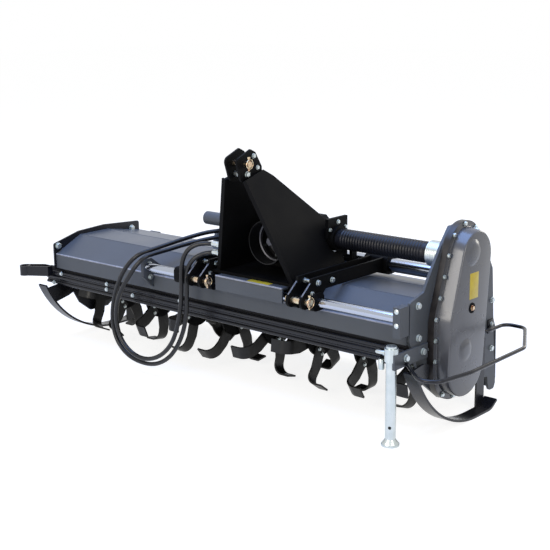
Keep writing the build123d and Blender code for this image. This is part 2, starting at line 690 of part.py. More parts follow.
def mast_plate(side):
    """One splayed A-frame plate with a folded lip along its front edge."""
    z_low = BASE_Z + BASE_T
    slant = math.hypot(1, MAST_SPLAY)
    angle = math.degrees(math.atan(MAST_SPLAY))

    def run(z):
        return (z - z_low) * slant

    outline = Polygon(
        (-306, 0),
        (-420, run(MAST_TOP_Z - 33)),
        (-292, run(MAST_TOP_Z)),
        (-243, run(MAST_TOP_Z - 29)),
        (-20, run(DRIVE_Z + 105)),
        (57, run(DRIVE_Z + 5)),
        (60, 0),
        align=None,
    )
    plate = extrude(outline, amount=MAST_T, dir=(0, 0, 1))
    edge = Polygon(
        (-306, 0),
        (-420, run(MAST_TOP_Z - 33)),
        (-420 + MAST_T, run(MAST_TOP_Z - 33)),
        (-306 + MAST_T, 0),
        align=None,
    )
    body = plate + extrude(edge, amount=MAST_LIP, dir=(0, 0, 1))
    tilt = math.radians(angle)
    place = Plane(origin=(HEAD_X + mast_x(z_low), 0, z_low),
                  x_dir=(0, 1, 0), z_dir=(math.cos(tilt), 0, math.sin(tilt)))
    body = place * body
    body &= box(HEAD_X, HEAD_X + 900, -900, 900, z_low, MAST_TOP_Z + 60)
    body -= rod_x(NECK_R + 3, HEAD_X, HEAD_X + 900, DRIVE_Y, DRIVE_Z)
    if side > 0:
        return body
    body = mirror(body, Plane.YZ.offset(HEAD_X))
    for route in (HOSE_LOW_ROUTE, HOSE_HIGH_ROUTE):
        x, y, z = route[-1]
        body += rod_x(HOSE_FITTING_R, x, HEAD_X - mast_x(z) - 1, y, z)
    return body


def top_hitch():
    outline = Polygon(
        (TOP_PIN_Y - 55, TOP_PIN_Z + 20),
        (TOP_PIN_Y + 34, TOP_PIN_Z + 56),
        (TOP_PIN_Y + 62, TOP_PIN_Z + 42),
        (TOP_PIN_Y + 100, MAST_TOP_Z + 16),
        (TOP_PIN_Y + 100, MAST_TOP_Z - 40),
        (TOP_PIN_Y - 24, MAST_TOP_Z - 40),
        align=None,
    )
    nose = outline.vertices().sort_by(Axis.X)[:2]
    outline = fillet(nose, TOP_NOSE_R)
    half = TOP_GAP / 2
    body = yz_plate(outline, HEAD_X - half - TOP_PLATE_T, TOP_PLATE_T)
    body += yz_plate(outline, HEAD_X + half, TOP_PLATE_T)
    spacer = rod_x(10, HEAD_X - half - 1, HEAD_X + half + 1, TOP_PIN_Y + 8, MAST_TOP_Z - 8)
    body += spacer
    return body - rod_x(TOP_PIN_R, HEAD_X - 100, HEAD_X + 100, TOP_PIN_Y, TOP_PIN_Z)


def hitch_pin(radius, x, half, y, z):
    pin = rod_x(radius, x - half - 4, x + half + 26, y, z)
    head = rod_x(radius + 6, x - half - 12, x - half - 4, y, z)
    return pin + head


def gearbox():
    x0 = HEAD_X - GEARBOX_HALF_X
    x1 = HEAD_X + GEARBOX_HALF_X
    low = BASE_Z + BASE_T
    body = box(x0, x1, GEARBOX_FRONT_Y, GEARBOX_REAR_Y, low, GEARBOX_TOP_Z)
    body = chamfer(body.edges(), GEARBOX_CHAMFER)
    foot = box(x0, x1, GEARBOX_FRONT_Y, GEARBOX_REAR_Y, low, low + 18)
    body += foot
    body += rod_x(NECK_R, x1 - 5, HEAD_X + NECK_END_X, DRIVE_Y, DRIVE_Z)
    neck_plate = Polygon(
        (DRIVE_Y - 66, DRIVE_Z + 9), (DRIVE_Y + 30, DRIVE_Z + 9), (DRIVE_Y + 30, low + 50),
        (GEARBOX_REAR_Y, low + 50), (GEARBOX_REAR_Y, GEARBOX_TOP_Z + 6),
        (DRIVE_Y - 66, GEARBOX_TOP_Z + 6),
        align=None,
    )
    body += yz_plate(neck_plate, HEAD_X + NECK_PLATE_X, NECK_PLATE_T)
    face = GEARBOX_FRONT_Y - HUB_L
    body += rod_y(HUB_R, face, GEARBOX_FRONT_Y + 5, HEAD_X, DRIVE_Z)
    bore = rod_y(PTO_SEAL_R + BEARING_GAP, face, GEARBOX_FRONT_Y + 10, HEAD_X, DRIVE_Z)
    return body - bore


def shaft_cover():
    """Closed tube that takes the drive shaft's end as the headstock shifts."""
    x1 = HEAD_X - GEARBOX_HALF_X
    x0 = HEAD_X + GUARD_TUBE_END_X
    return rod_x(GUARD_TUBE_R, x0, x1, DRIVE_Y, DRIVE_Z)


def pto_shaft():
    face = GEARBOX_FRONT_Y - HUB_L
    stub = rod_y(PTO_R, PTO_END_Y, face, HEAD_X, DRIVE_Z)
    return stub + rod_y(PTO_SEAL_R, face, GEARBOX_FRONT_Y + 8, HEAD_X, DRIVE_Z)


def pto_guard():
    y0 = GEARBOX_FRONT_Y - HUB_L
    outer = rod_y(PTO_GUARD_R, PTO_GUARD_FRONT_Y, y0, HEAD_X, DRIVE_Z)
    inner = rod_y(PTO_GUARD_R - PTO_GUARD_T, PTO_GUARD_FRONT_Y, y0 - PTO_GUARD_T, HEAD_X, DRIVE_Z)
    hole = rod_y(40, PTO_GUARD_FRONT_Y, y0, HEAD_X, DRIVE_Z)
    return outer - inner - hole


def bellows():
    """Corrugated rubber tube over the drive shaft, from the gearbox neck to the collar."""
    x0 = HEAD_X + NECK_END_X
    x1 = INNER_RIGHT_X - COLLAR_L
    tube = rod_x(BELLOWS_R, x0, x1, DRIVE_Y, DRIVE_Z)
    return tube - rod_x(BELLOWS_R - BELLOWS_WALL, x0, x1, DRIVE_Y, DRIVE_Z)


CYL_LEFT_X = HEAD_X - ARM_INNER_X
CYL_RIGHT_X = HEAD_X + ARM_INNER_X


def cylinder_barrel():
    """Shift cylinder across the headstock, on posts, with both hose ports in its left end."""
    body = rod_x(CYL_R, CYL_LEFT_X, CYL_RIGHT_X, CYL_Y, CYL_Z)
    body -= rod_x(CYL_BORE_R, CYL_LEFT_X + CYL_CAP, CYL_RIGHT_X - CYL_CAP, CYL_Y, CYL_Z)
    for x in (CYL_LEFT_X + 60, CYL_RIGHT_X - 60):
        post = box(x - CYL_POST_T / 2, x + CYL_POST_T / 2, CYL_Y - 18, CYL_Y + 18,
                   BASE_Z + BASE_T, CYL_Z - CYL_BORE_R - 3)
        body += post
    for side in (-1, 1):
        body += rod_x(HOSE_FITTING_R, CYL_LEFT_X - HOSE_FITTING_L, CYL_LEFT_X,
                      CYL_Y, CYL_Z + side * HOSE_PORT_RISE)
    return body - rod_x(CYL_ROD_R + SLIDE_GAP, CYL_RIGHT_X - CYL_CAP, CYL_RIGHT_X, CYL_Y, CYL_Z)


def cylinder_rod():
    """Piston rod from inside the barrel, over the right arm, to the side plate."""
    return rod_x(CYL_ROD_R, HEAD_X + CYL_ROD_IN, INNER_RIGHT_X, CYL_Y, CYL_Z)


# the hoses' routes as (x, y, z), from the cylinder's ports to the left A-frame plate
HOSE_START_X = CYL_LEFT_X - HOSE_FITTING_L
HOSE_HIGH_ROUTE = [
    (HOSE_START_X, CYL_Y, CYL_Z + HOSE_PORT_RISE), (-60, CYL_Y, CYL_Z + HOSE_PORT_RISE),
    (-124, 122, 652), (-186, 84, 644), (-240, 34, 636), (-286, -22, 630), (-318, -84, 618),
    (-346, -148, 604), (-370, -208, 590), (-393, -270, 577), (-420, -326, 564),
    (-458, -356, 526), (-512, -360, 464), (-560, -354, 392), (-596, -350, 312),
    (-610, -350, 222), (-588, -350, 128), (-520, -350, 68), (-430, -350, 46),
    (-328, -350, 52), (-236, -350, 98), (-168, -352, 172), (-122, -354, 258),
    (-99, -356, 346), (-94, -357, 430), (-94, -356, 504), (-84, -352, 562),
    (-50, -334, 604), (-2, -294, 622), (HOSE_END_X, -294, 622),
]
HOSE_LOW_ROUTE = [
    (HOSE_START_X, CYL_Y, CYL_Z - HOSE_PORT_RISE), (-60, CYL_Y, CYL_Z - HOSE_PORT_RISE),
    (-122, 118, 627), (-180, 76, 619), (-228, 24, 611), (-268, -34, 603), (-302, -94, 593),
    (-330, -154, 582), (-353, -214, 570), (-372, -272, 562), (-388, -330, 552),
    (-412, -364, 514), (-450, -378, 456), (-502, -380, 390), (-541, -377, 315),
    (-554, -375, 232), (-528, -374, 146), (-456, -374, 90), (-362, -374, 76),
    (-264, -374, 110), (-188, -374, 178), (-146, -373, 262), (-126, -370, 346),
    (-120, -364, 430), (-120, -362, 505), (-116, -360, 575), (-92, -348, 630),
    (-50, -324, 656), (-2, -296, 660), (HOSE_END_X, -296, 660),
]


def hose(route):
    """A round hose along straight runs that are joined by arcs as large as the runs allow."""
    radii = []
    for before, here, after in zip(route, route[1:], route[2:]):
        first = Vector(*here) - Vector(*before)
        second = Vector(*after) - Vector(*here)
        half_turn = math.radians(first.get_angle(second)) / 2
        radii.append(0.45 * min(first.length, second.length) / math.tan(half_turn))
    path = FilletPolyline(*route, radius=radii)
    start = Plane(origin=path @ 0, z_dir=path % 0)
    tube = sweep(start * Circle(HOSE_R), path=path)
    ratio = tube.volume / (math.pi * HOSE_R ** 2 * path.length)
    print("hose", round(path.length), "mm long, tightest bend", round(min(radii)),
          "mm, volume over section times length", round(ratio, 4))
    return tube


# ---- rotor -------------------------------------------------------------------------------
def flange_places():
    """Flange centres along the rotor, from the gear-case end."""
    return [INNER_RIGHT_X - FLANGE_END_GAP - FLANGE_PITCH * i for i in range(FLANGE_COUNT)]


END_FLANGE_X = INNER_LEFT_X + ROTOR_END_GAP + FLANGE_T / 2


def rotor_shaft():
    x0 = INNER_LEFT_X + ROTOR_END_GAP
    body = rod_x(ROTOR_TUBE_R, x0, INNER_RIGHT_X - ROTOR_END_GAP, 0, ROTOR_Z)
    stub_left = LEFT_X - BEARING_L + 12
    stub_right = RIGHT_X + HOUSING_T - 5
    body += rod_x(ROTOR_STUB_R, stub_left, stub_right, 0, ROTOR_Z)
    for x in flange_places() + [END_FLANGE_X]:
        body += rod_x(FLANGE_R, x - FLANGE_T / 2, x + FLANGE_T / 2, 0, ROTOR_Z)
    return body


def tine(side):
    """One curved blade at the top of the rotor, on the side of its flange given by the sign.

    An L-shaped bar, flat on the flange and bent along the rotor, is cut to a sickle outline.
    Its cutting edge leads towards -Y and is the furthest from the axis.
    """
    reach = TINE_R - TINE_RELIEF
    foot = FLANGE_T / 2
    line = [(foot, TINE_ROOT_R), (foot, reach), (TINE_SIDE, reach)]
    section = folded(line, TINE_T, TINE_BEND_R)
    bar = extrude(Plane.XZ * section, amount=TINE_R, both=True)
    lead = TINE_W / 2
    tip = TINE_R + 10
    middle = (TINE_ROOT_R + tip) / 2
    knee = TINE_LAG / 5
    sickle = Polygon(
        (-lead, TINE_ROOT_R), (-lead + knee, middle), (-lead + TINE_LAG, tip),
        (lead + TINE_LAG, tip), (lead + knee, middle), (lead, TINE_ROOT_R),
        align=None,
    )
    relief = math.degrees(math.asin((lead + TINE_LAG) / reach))
    blade = Rot(-relief, 0, 0) * bar & yz_plate(sickle, 0, TINE_SIDE + 1)
    if side < 0:
        blade = mirror(blade, Plane.YZ)
    return blade


def tine_set(side):
    """All tines on one side of the flanges, in a helix along the rotor."""
    blade = tine(side)
    places = flange_places()
    if side > 0:
        places = places + [END_FLANGE_X]
    blades = []
    for i, x in enumerate(places):
        for k in range(TINES_PER_SIDE):
            turn = k * 360 / TINES_PER_SIDE + i * HELIX_STEP + (0 if side > 0 else 180 / TINES_PER_SIDE)
            blades.append(Pos(x, 0, ROTOR_Z) * Rot(turn, 0, 0) * blade)
    return Compound(children=blades)


parts = {}


def add(name, shape):
    parts[name] = shape


add("hood", hood())
add("front_beam", front_beam())
add("left_end_plate", left_end_plate())
add("rotor_bearing", rotor_bearing())
add("right_side_plate", right_side_plate())
add("gear_housing", gear_housing())
add("gear_cover", gear_cover())
add("drive_collar", drive_collar())
add("front_guide_tube", guide_tube(FRONT_TUBE_R, FRONT_TUBE_Y, FRONT_TUBE_Z))
add("rear_guide_tube", guide_tube(REAR_TUBE_R, REAR_TUBE_Y, REAR_TUBE_Z))
add("front_tube_bracket", front_tube_bracket())
add("rear_tube_bracket", rear_tube_bracket())
add("right_tube_bracket", right_tube_bracket())
add("front_rail", front_rail())
add("skid_left", skid_left())
add("skid_right", skid_right())
add("hoop_guard", hoop_guard())
add("stand", stand())
add("stand_bracket", stand_bracket())
add("spare_bracket", spare_bracket())
add("tail_hinge", tail_hinge())
add("tailboard", tailboard())
add("arm_left", arm(-1))
add("arm_right", arm(1))
add("base_plate", base_plate())
add("front_crossbeam", front_crossbeam())
add("mast_plate_left", mast_plate(-1))
add("mast_plate_right", mast_plate(1))
add("top_hitch", top_hitch())
add("top_link_pin", hitch_pin(TOP_PIN_R, HEAD_X, TOP_GAP / 2 + TOP_PLATE_T, TOP_PIN_Y, TOP_PIN_Z))
for name, side in (("left", -1), ("right", 1)):
    centre = HEAD_X + side * EAR_X
    half = EAR_GAP / 2 + EAR_T
    add("lower_pin_" + name, hitch_pin(LOWER_PIN_R, centre, half, LOWER_PIN_Y, LOWER_PIN_Z))
add("gearbox", gearbox())
add("shaft_cover", shaft_cover())
add("pto_shaft", pto_shaft())
add("pto_guard", pto_guard())
add("bellows", bellows())
add("cylinder_barrel", cylinder_barrel())
add("cylinder_rod", cylinder_rod())
add("hose_low", hose(HOSE_LOW_ROUTE))
add("hose_high", hose(HOSE_HIGH_ROUTE))
add("rotor_shaft", rotor_shaft())
add("tines_left", tine_set(-1))
add("tines_right", tine_set(1))

os.makedirs("parts", exist_ok=True)
for name, shape in parts.items():
    export_step(shape, "parts/" + name + ".step")
print(len(parts), "nodes")
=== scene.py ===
# %% [markdown]
# # Rotary tiller
# The machine was packed from its construction model as a fixed frame. Here it gets its finishes,
# its hoses and rubber bellows, and the small parts that hold it together. Every length is in
# metres, in the frame's own axes: +X to the gear-case end, -Y forward to the tractor, +Z up.

# %% Load the frame
import json
import math

import bmesh
import bpy
from mathutils import Matrix, Vector, geometry


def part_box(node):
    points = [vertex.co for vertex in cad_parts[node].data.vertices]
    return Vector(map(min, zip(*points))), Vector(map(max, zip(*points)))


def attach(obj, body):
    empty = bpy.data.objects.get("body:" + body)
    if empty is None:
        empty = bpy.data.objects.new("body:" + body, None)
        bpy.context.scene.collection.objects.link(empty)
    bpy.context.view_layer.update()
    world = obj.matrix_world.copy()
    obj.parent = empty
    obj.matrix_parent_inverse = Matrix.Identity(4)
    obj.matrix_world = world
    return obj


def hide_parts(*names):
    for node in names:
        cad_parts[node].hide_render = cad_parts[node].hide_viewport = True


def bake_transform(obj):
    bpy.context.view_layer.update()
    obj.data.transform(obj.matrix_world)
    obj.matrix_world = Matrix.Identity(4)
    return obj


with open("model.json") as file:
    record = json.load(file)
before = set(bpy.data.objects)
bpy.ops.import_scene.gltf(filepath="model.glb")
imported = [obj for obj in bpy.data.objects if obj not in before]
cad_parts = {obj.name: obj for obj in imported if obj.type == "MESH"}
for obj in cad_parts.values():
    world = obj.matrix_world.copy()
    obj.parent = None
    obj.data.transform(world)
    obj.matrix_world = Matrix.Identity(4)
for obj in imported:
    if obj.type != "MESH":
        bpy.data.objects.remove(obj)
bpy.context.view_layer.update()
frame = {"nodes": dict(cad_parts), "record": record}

NODES = frame["nodes"]
MM = 0.001

# %% [markdown]
# ## Camera
# The camera stands off the gear-case end, a little over the hood, and looks along the machine
# through a long lens, which keeps the far end from shrinking. It could be aimed at a point with a
# constraint. Two angles and a small roll, as on a tripod's head, say the same and stay readable.

# %% Camera
CAMERA_PLACE = Vector((3.392, -3.773, 1.685))
CAMERA_AZIMUTH = math.radians(41.01)
CAMERA_ELEVATION = math.radians(13.56)
CAMERA_ROLL = math.radians(0.60)
CAMERA_LENS = 74.74
SENSOR_WIDTH = 36.0


def camera_axes():
    """The camera's right, up and back directions, from its two angles and its roll."""
    back = Vector((math.sin(CAMERA_AZIMUTH) * math.cos(CAMERA_ELEVATION),
                   -math.cos(CAMERA_AZIMUTH) * math.cos(CAMERA_ELEVATION),
                   math.sin(CAMERA_ELEVATION)))
    right = (-back).cross(Vector((0, 0, 1))).normalized()
    up = right.cross(-back)
    turn = Matrix.Rotation(-CAMERA_ROLL, 3, back)
    return Matrix((turn @ right, turn @ up, back)).transposed()


camera_data = bpy.data.cameras.new("camera")
camera_data.sensor_width = SENSOR_WIDTH
camera_data.lens = CAMERA_LENS
camera = bpy.data.objects.new("camera", camera_data)
camera.matrix_world = Matrix.Translation(CAMERA_PLACE) @ camera_axes().to_4x4()
bpy.context.collection.objects.link(camera)
bpy.context.scene.camera = camera
print("camera lens", CAMERA_LENS, "mm")

# %% [markdown]
# ## Nodes and colours
# A colour is written as the hex value that a screen shows, and one function turns it to the linear
# values that the renderer adds up. One more function adds a node to a material with its settings
# and links, so that a material reads as a short list of what lies on what.

# %% Colours and nodes
def linear(hex_colour):
    """The linear RGBA of an sRGB colour such as "#5f6266"."""
    channels = [int(hex_colour[i:i + 2], 16) / 255 for i in (1, 3, 5)]
    values = [c / 12.92 if c <= 0.04045 else ((c + 0.055) / 1.055) ** 2.4 for c in channels]
    return (*values, 1.0)


def add_node(tree, kind, links=None, **settings):
    """One node: settings go to its properties or sockets, links join other nodes' outputs to it.

    A socket is named with _ for each space in its name, or _1 for the socket of that number.
    """
    node = tree.nodes.new(kind)
    for name, value in settings.items():
        if hasattr(node, name):
            setattr(node, name, value)
        else:
            socket = int(name[1:]) if name[0] == "_" else name.replace("_", " ")
            node.inputs[socket].default_value = value
    for name, output in (links or {}).items():
        tree.links.new(output, node.inputs[name])
    return node


print("mid grey is", [round(value, 3) for value in linear("#808080")])

# %% [markdown]
# ## Materials and their unevenness
# Real paint, plating and rubber are never even: the colour and the gloss drift over a hand's
# width, and the surface is pebbled or drawn out by its making. A noise pattern gives both. One
# helper spreads slow patches of colour and roughness, another raises fine grains, and both take
# their sizes from the real ones.

# %% A material
def new_material(name, colour, roughness, metallic=0.0, gloss=0.5):
    """A material with its surface shader, and the coordinates that its patterns read.

    Gloss is how much an unplated surface mirrors: 0.5 is clean paint, less is matt or dusty.
    """
    material = bpy.data.materials.new(name)
    material.use_nodes = True
    shader = material.node_tree.nodes["Principled BSDF"]
    shader.inputs["Base Color"].default_value = linear(colour)
    shader.inputs["Roughness"].default_value = roughness
    shader.inputs["Metallic"].default_value = metallic
    shader.inputs["Specular IOR Level"].default_value = gloss
    add_node(material.node_tree, "ShaderNodeTexCoord", name="coordinates")
    return material


print("a material starts from one shader and its coordinates")

# %% Patches and bumps
NOISE_SPAN = (0.3, 0.7)  # the noise hardly ever leaves this span, so it is stretched from there


def patchy(material, low, high, size, roughness=None):
    """Slow changes of colour over patches of that size in metres, and of roughness with them."""
    tree = material.node_tree
    shader, coordinates = tree.nodes["Principled BSDF"], tree.nodes["coordinates"]
    noise = add_node(tree, "ShaderNodeTexNoise", {"Vector": coordinates.outputs["Object"]},
                     Scale=1 / size, Detail=4.0, Roughness=0.55)
    ramp = add_node(tree, "ShaderNodeValToRGB", {"Fac": noise.outputs["Fac"]})
    for stop, position, colour in zip(ramp.color_ramp.elements, NOISE_SPAN, (low, high)):
        stop.position = position
        stop.color = linear(colour)
    tree.links.new(ramp.outputs["Color"], shader.inputs["Base Color"])
    if roughness:
        spread = add_node(tree, "ShaderNodeMapRange", {"Value": noise.outputs["Fac"]},
                          From_Min=NOISE_SPAN[0], From_Max=NOISE_SPAN[1],
                          To_Min=roughness[0], To_Max=roughness[1])
        tree.links.new(spread.outputs["Result"], shader.inputs["Roughness"])


def bumped(material, size, height, detail=2.0):
    """Fine unevenness of the surface, with grains of that size and height in metres."""
    tree = material.node_tree
    shader, coordinates = tree.nodes["Principled BSDF"], tree.nodes["coordinates"]
    noise = add_node(tree, "ShaderNodeTexNoise", {"Vector": coordinates.outputs["Object"]},
                     Scale=1 / size, Detail=detail, Roughness=0.5)
    bump = add_node(tree, "ShaderNodeBump", {"Height": noise.outputs["Fac"]},
                    Strength=1.0, Distance=height)
    tree.links.new(bump.outputs["Normal"], shader.inputs["Normal"])


print("noise stretched from", NOISE_SPAN)

# %% [markdown]
# ## Hoses
# Two rubber hydraulic hoses bring oil to the shift cylinder. They leave its end, pass under the
# shaft cover and over the front guide tube, hang in a loop before the rail, and come back up to
# the A-frame. Each is one smooth curve through listed control points: a hose has no corners, and
# a curve of order three bends as evenly as reinforced rubber does.

# %% Hose routes
HOSE_ROUTES = {
    "hose_high": [
        (-8, 142, 658), (-60, 142, 658),
        (-124, 122, 652), (-186, 84, 644), (-240, 34, 636), (-286, -22, 630), (-318, -84, 618),
        (-346, -148, 604), (-370, -208, 590), (-393, -270, 577), (-420, -326, 564),
        (-458, -356, 526), (-512, -360, 464), (-560, -354, 392), (-596, -350, 312),
        (-610, -350, 222), (-588, -350, 128), (-520, -350, 68), (-430, -350, 46),
        (-328, -350, 52), (-236, -350, 98), (-168, -352, 172), (-122, -354, 258),
        (-99, -356, 346), (-94, -357, 430), (-94, -356, 504), (-84, -352, 562),
        (-50, -334, 604), (-2, -294, 622), (46, -294, 622),
    ],
    "hose_low": [
        (-8, 142, 634), (-60, 142, 634),
        (-122, 118, 627), (-180, 76, 619), (-228, 24, 611), (-268, -34, 603), (-302, -94, 593),
        (-330, -154, 582), (-353, -214, 570), (-372, -272, 562), (-388, -330, 552),
        (-412, -364, 514), (-450, -378, 456), (-502, -380, 390), (-541, -377, 315),
        (-554, -375, 232), (-528, -374, 146), (-456, -374, 90), (-362, -374, 76),
        (-264, -374, 110), (-188, -374, 178), (-146, -373, 262), (-126, -370, 346),
        (-120, -364, 430), (-120, -362, 505), (-116, -360, 575), (-92, -348, 630),
        (-50, -324, 656), (-2, -296, 660), (46, -296, 660),
    ],
}
print("points of each route:", [len(route) for route in HOSE_ROUTES.values()])

# %% Hoses
HOSE_DIAMETER = 0.020
STEPS_ROUND = 6  # Blender's bevel resolution, which makes a hose of 16 sides
STEPS_ALONG = 8  # of the curve between two points

# nitrile rubber, extruded and wrapped in cloth while it cured: smooth, faintly ribbed, soft sheen
hose_rubber = new_material("extruded_rubber", "#0f0f11", 0.34, gloss=0.4)
bumped(hose_rubber, 4 * MM, 0.15 * MM)
patchy(hose_rubber, "#0c0c0e", "#141416", 60 * MM, (0.28, 0.42))

for name, route in HOSE_ROUTES.items():
    curve = bpy.data.curves.new(name + "_rubber", "CURVE")
    curve.dimensions = "3D"
    curve.bevel_depth = HOSE_DIAMETER / 2
    curve.bevel_resolution = STEPS_ROUND
    curve.use_fill_caps = True
    spline = curve.splines.new("NURBS")
    spline.points.add(len(route) - 1)
    for point, place in zip(spline.points, route):
        point.co = (*(Vector(place) * MM), 1.0)
    spline.order_u = 3
    spline.use_endpoint_u = True
    spline.resolution_u = STEPS_ALONG
    curve.materials.append(hose_rubber)
    hose = bpy.data.objects.new(name + "_rubber", curve)
    bpy.context.collection.objects.link(hose)
    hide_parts(name)
    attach(hose, "headstock")

# %% [markdown]
# ## Studio
# A large soft lamp hangs overhead, blue as a clear sky is, and nearly white ones stand at the
# tractor's side, at the gear case and behind, so the forms show without hard shadows. To the
# camera and in reflections the world and the floor are plain white. Their light on the machine is
# weaker than that, so that paint renders about as dark as it is written.

# %% Background rays
def background_rays(tree):
    """1 for rays that see the background: from the camera, a reflection or glass."""
    path = add_node(tree, "ShaderNodeLightPath")
    shown = path.outputs["Is Camera Ray"]
    for ray in ("Is Glossy Ray", "Is Transmission Ray"):
        shown = add_node(tree, "ShaderNodeMath", {0: shown, 1: path.outputs[ray]},
                         operation="MAXIMUM").outputs["Value"]
    return shown


print("background seen by camera, reflection and glass rays")

# %% Floor
FLOOR_SIZE = 60.0
FLOOR_COLOUR = "#acacac"
FLOOR_GLOW = 0.84  # lifts the lit floor to white in the camera's view, and leaves the shadow

floor_mesh = bpy.data.meshes.new("floor")
bm = bmesh.new()
bmesh.ops.create_grid(bm, x_segments=1, y_segments=1, size=FLOOR_SIZE / 2)
bm.to_mesh(floor_mesh)
bm.free()
floor = bpy.data.objects.new("floor", floor_mesh)
bpy.context.collection.objects.link(floor)

studio_paper = bpy.data.materials.new("studio_paper")
studio_paper.use_nodes = True
tree = studio_paper.node_tree
tree.nodes.clear()
diffuse = add_node(tree, "ShaderNodeBsdfDiffuse", Color=linear(FLOOR_COLOUR))
glow = add_node(tree, "ShaderNodeMath", {0: background_rays(tree)}, operation="MULTIPLY",
                _1=FLOOR_GLOW)
light = add_node(tree, "ShaderNodeEmission", {"Strength": glow.outputs["Value"]})
both = add_node(tree, "ShaderNodeAddShader",
                {0: diffuse.outputs["BSDF"], 1: light.outputs["Emission"]})
add_node(tree, "ShaderNodeOutputMaterial", {"Surface": both.outputs["Shader"]})
floor_mesh.materials.append(studio_paper)
print("floor", FLOOR_SIZE, "m")

# %% Lamps
LAMPS = [  # name, place, aim, size, watts, colour
    ("sky", (0.0, -0.4, 4.8), (0.0, 0.0, 0.4), 4.0, 290, "#7faaf4"),
    ("front", (0.3, -5.1, 2.1), (0.0, 0.0, 0.45), 2.4, 112, "#fff9ee"),
    ("gear_side", (5.0, -1.6, 2.2), (0.6, 0.0, 0.5), 2.0, 50, "#fff9ee"),
    ("behind", (1.2, 4.9, 1.9), (0.0, 0.0, 0.5), 2.0, 70, "#fff9ee"),
]
for name, place, aim, size, watts, colour in LAMPS:
    data = bpy.data.lights.new(name, "AREA")
    data.size = size
    data.energy = watts
    data.color = linear(colour)[:3]
    lamp = bpy.data.objects.new(name, data)
    turn = (Vector(aim) - Vector(place)).to_track_quat("-Z", "Y")
    lamp.matrix_world = Matrix.Translation(place) @ turn.to_matrix().to_4x4()
    bpy.context.collection.objects.link(lamp)
print(len(LAMPS), "lamps")

# %% World
WORLD_FILL = 0.38  # the world's strength as a light, where 1 is what the camera sees

world = bpy.data.worlds.new("studio")
world.use_nodes = True
bpy.context.scene.world = world
tree = world.node_tree
strength = add_node(tree, "ShaderNodeMapRange", {"Value": background_rays(tree)},
                    To_Min=WORLD_FILL, To_Max=1.0)
tree.links.new(strength.outputs["Result"], tree.nodes["Background"].inputs["Strength"])
tree.nodes["Background"].inputs["Color"].default_value = (1, 1, 1, 1)
bpy.context.scene.view_settings.view_transform = "Standard"
print("world fill", WORLD_FILL)

# %% [markdown]
# ## Finishes
# Folded and welded sheet is sprayed grey, forged and cast parts are black, the guide tubes are
# hard chromed, and small hardware is zinc plated, some of it yellow. Each finish gets the slow
# unevenness of its process, because an even colour reads as plastic. The patterns read the
# part's own place in metres, so their sizes are the real ones.

# %% Paints
# polyurethane enamel, sprayed on folded sheet: half glossy, with a faint orange peel and dust
grey_enamel = new_material("sprayed_grey_enamel", "#52565a", 0.36, gloss=0.3)
patchy(grey_enamel, "#4d5156", "#575b60", 350 * MM, (0.3, 0.42))
bumped(grey_enamel, 9 * MM, 0.1 * MM)

# the same enamel on the pressed cover of the gear case: deep-drawn sheet is smoother, so glossier
cover_enamel = new_material("pressed_cover_enamel", "#4e4f53", 0.25, gloss=0.75)
patchy(cover_enamel, "#494a4e", "#535458", 250 * MM, (0.2, 0.32))
bumped(cover_enamel, 9 * MM, 0.06 * MM)

# the enamel on a fold with a painted highlight: paler than the paint so it shows as a light line,
# and polished
painted_highlight_enamel = new_material("painted_highlight_edge", "#9799a3", 0.25, gloss=0.7)
patchy(painted_highlight_enamel, "#7f818a", "#a8aab4", 90 * MM, (0.2, 0.32))

# powder coat on thick plate: near black and matt, with the grain of melted powder
black_coat = new_material("black_powder_coat", "#090909", 0.56, gloss=0.07)
patchy(black_coat, "#070708", "#0c0c0d", 120 * MM, (0.5, 0.64))
bumped(black_coat, 3 * MM, 0.08 * MM)

# the same black, sprayed wet on the ribbed rail: smoother, so it mirrors the sky a little
black_gloss = new_material("sprayed_black_enamel", "#0d0e14", 0.25, gloss=0.36)
patchy(black_gloss, "#0b0c11", "#11121a", 200 * MM, (0.2, 0.34))
bumped(black_gloss, 8 * MM, 0.08 * MM)

# spring steel, hot forged and dipped in black lacquer: uneven, with scale under the lacquer
tine_lacquer = new_material("dipped_black_forging", "#121212", 0.4, gloss=0.3)
patchy(tine_lacquer, "#0d0d0d", "#1a1918", 35 * MM, (0.3, 0.52))
bumped(tine_lacquer, 6 * MM, 0.3 * MM, 4.0)
print("paints ready")

# %% Platings
# hard chrome on ground tube: mirror bright with a trace of grinding
hard_chrome = new_material("hard_chrome", "#aeb4c0", 0.12, 1.0)
bumped(hard_chrome, 12 * MM, 0.03 * MM)

# bright zinc from a plating barrel: pale grey-green silver, faintly cloudy
bright_zinc = new_material("barrel_plated_zinc", "#c3cbca", 0.32, 1.0)
patchy(bright_zinc, "#bcc5c4", "#cbd1d0", 40 * MM, (0.28, 0.38))
bumped(bright_zinc, 6 * MM, 0.03 * MM)

# zinc passivated yellow: pale gold with a pink and green bloom
yellow_zinc = new_material("yellow_passivated_zinc", "#cbb998", 0.24, 1.0)
patchy(yellow_zinc, "#b98c74", "#dcd6b4", 14 * MM, (0.2, 0.32))

# steel dipped in hot manganese phosphate against rust: dark grey and dull
phosphated_steel = new_material("phosphated_steel", "#55555a", 0.42, 1.0)
patchy(phosphated_steel, "#48484c", "#626268", 15 * MM, (0.36, 0.5))
print("platings ready")

# %% Plastics, rubber and vinyl
# polyethylene, injection moulded: black with a dull sheen
black_plastic = new_material("moulded_polyethylene", "#0c0c0d", 0.42, gloss=0.3)
bumped(black_plastic, 2.5 * MM, 0.05 * MM)

# chloroprene rubber, moulded on a core: blue-black with a soft sheen along its folds
bellows_rubber = new_material("moulded_rubber", "#0f1015", 0.38, gloss=0.26)
patchy(bellows_rubber, "#0d0e12", "#13141b", 50 * MM, (0.3, 0.44))

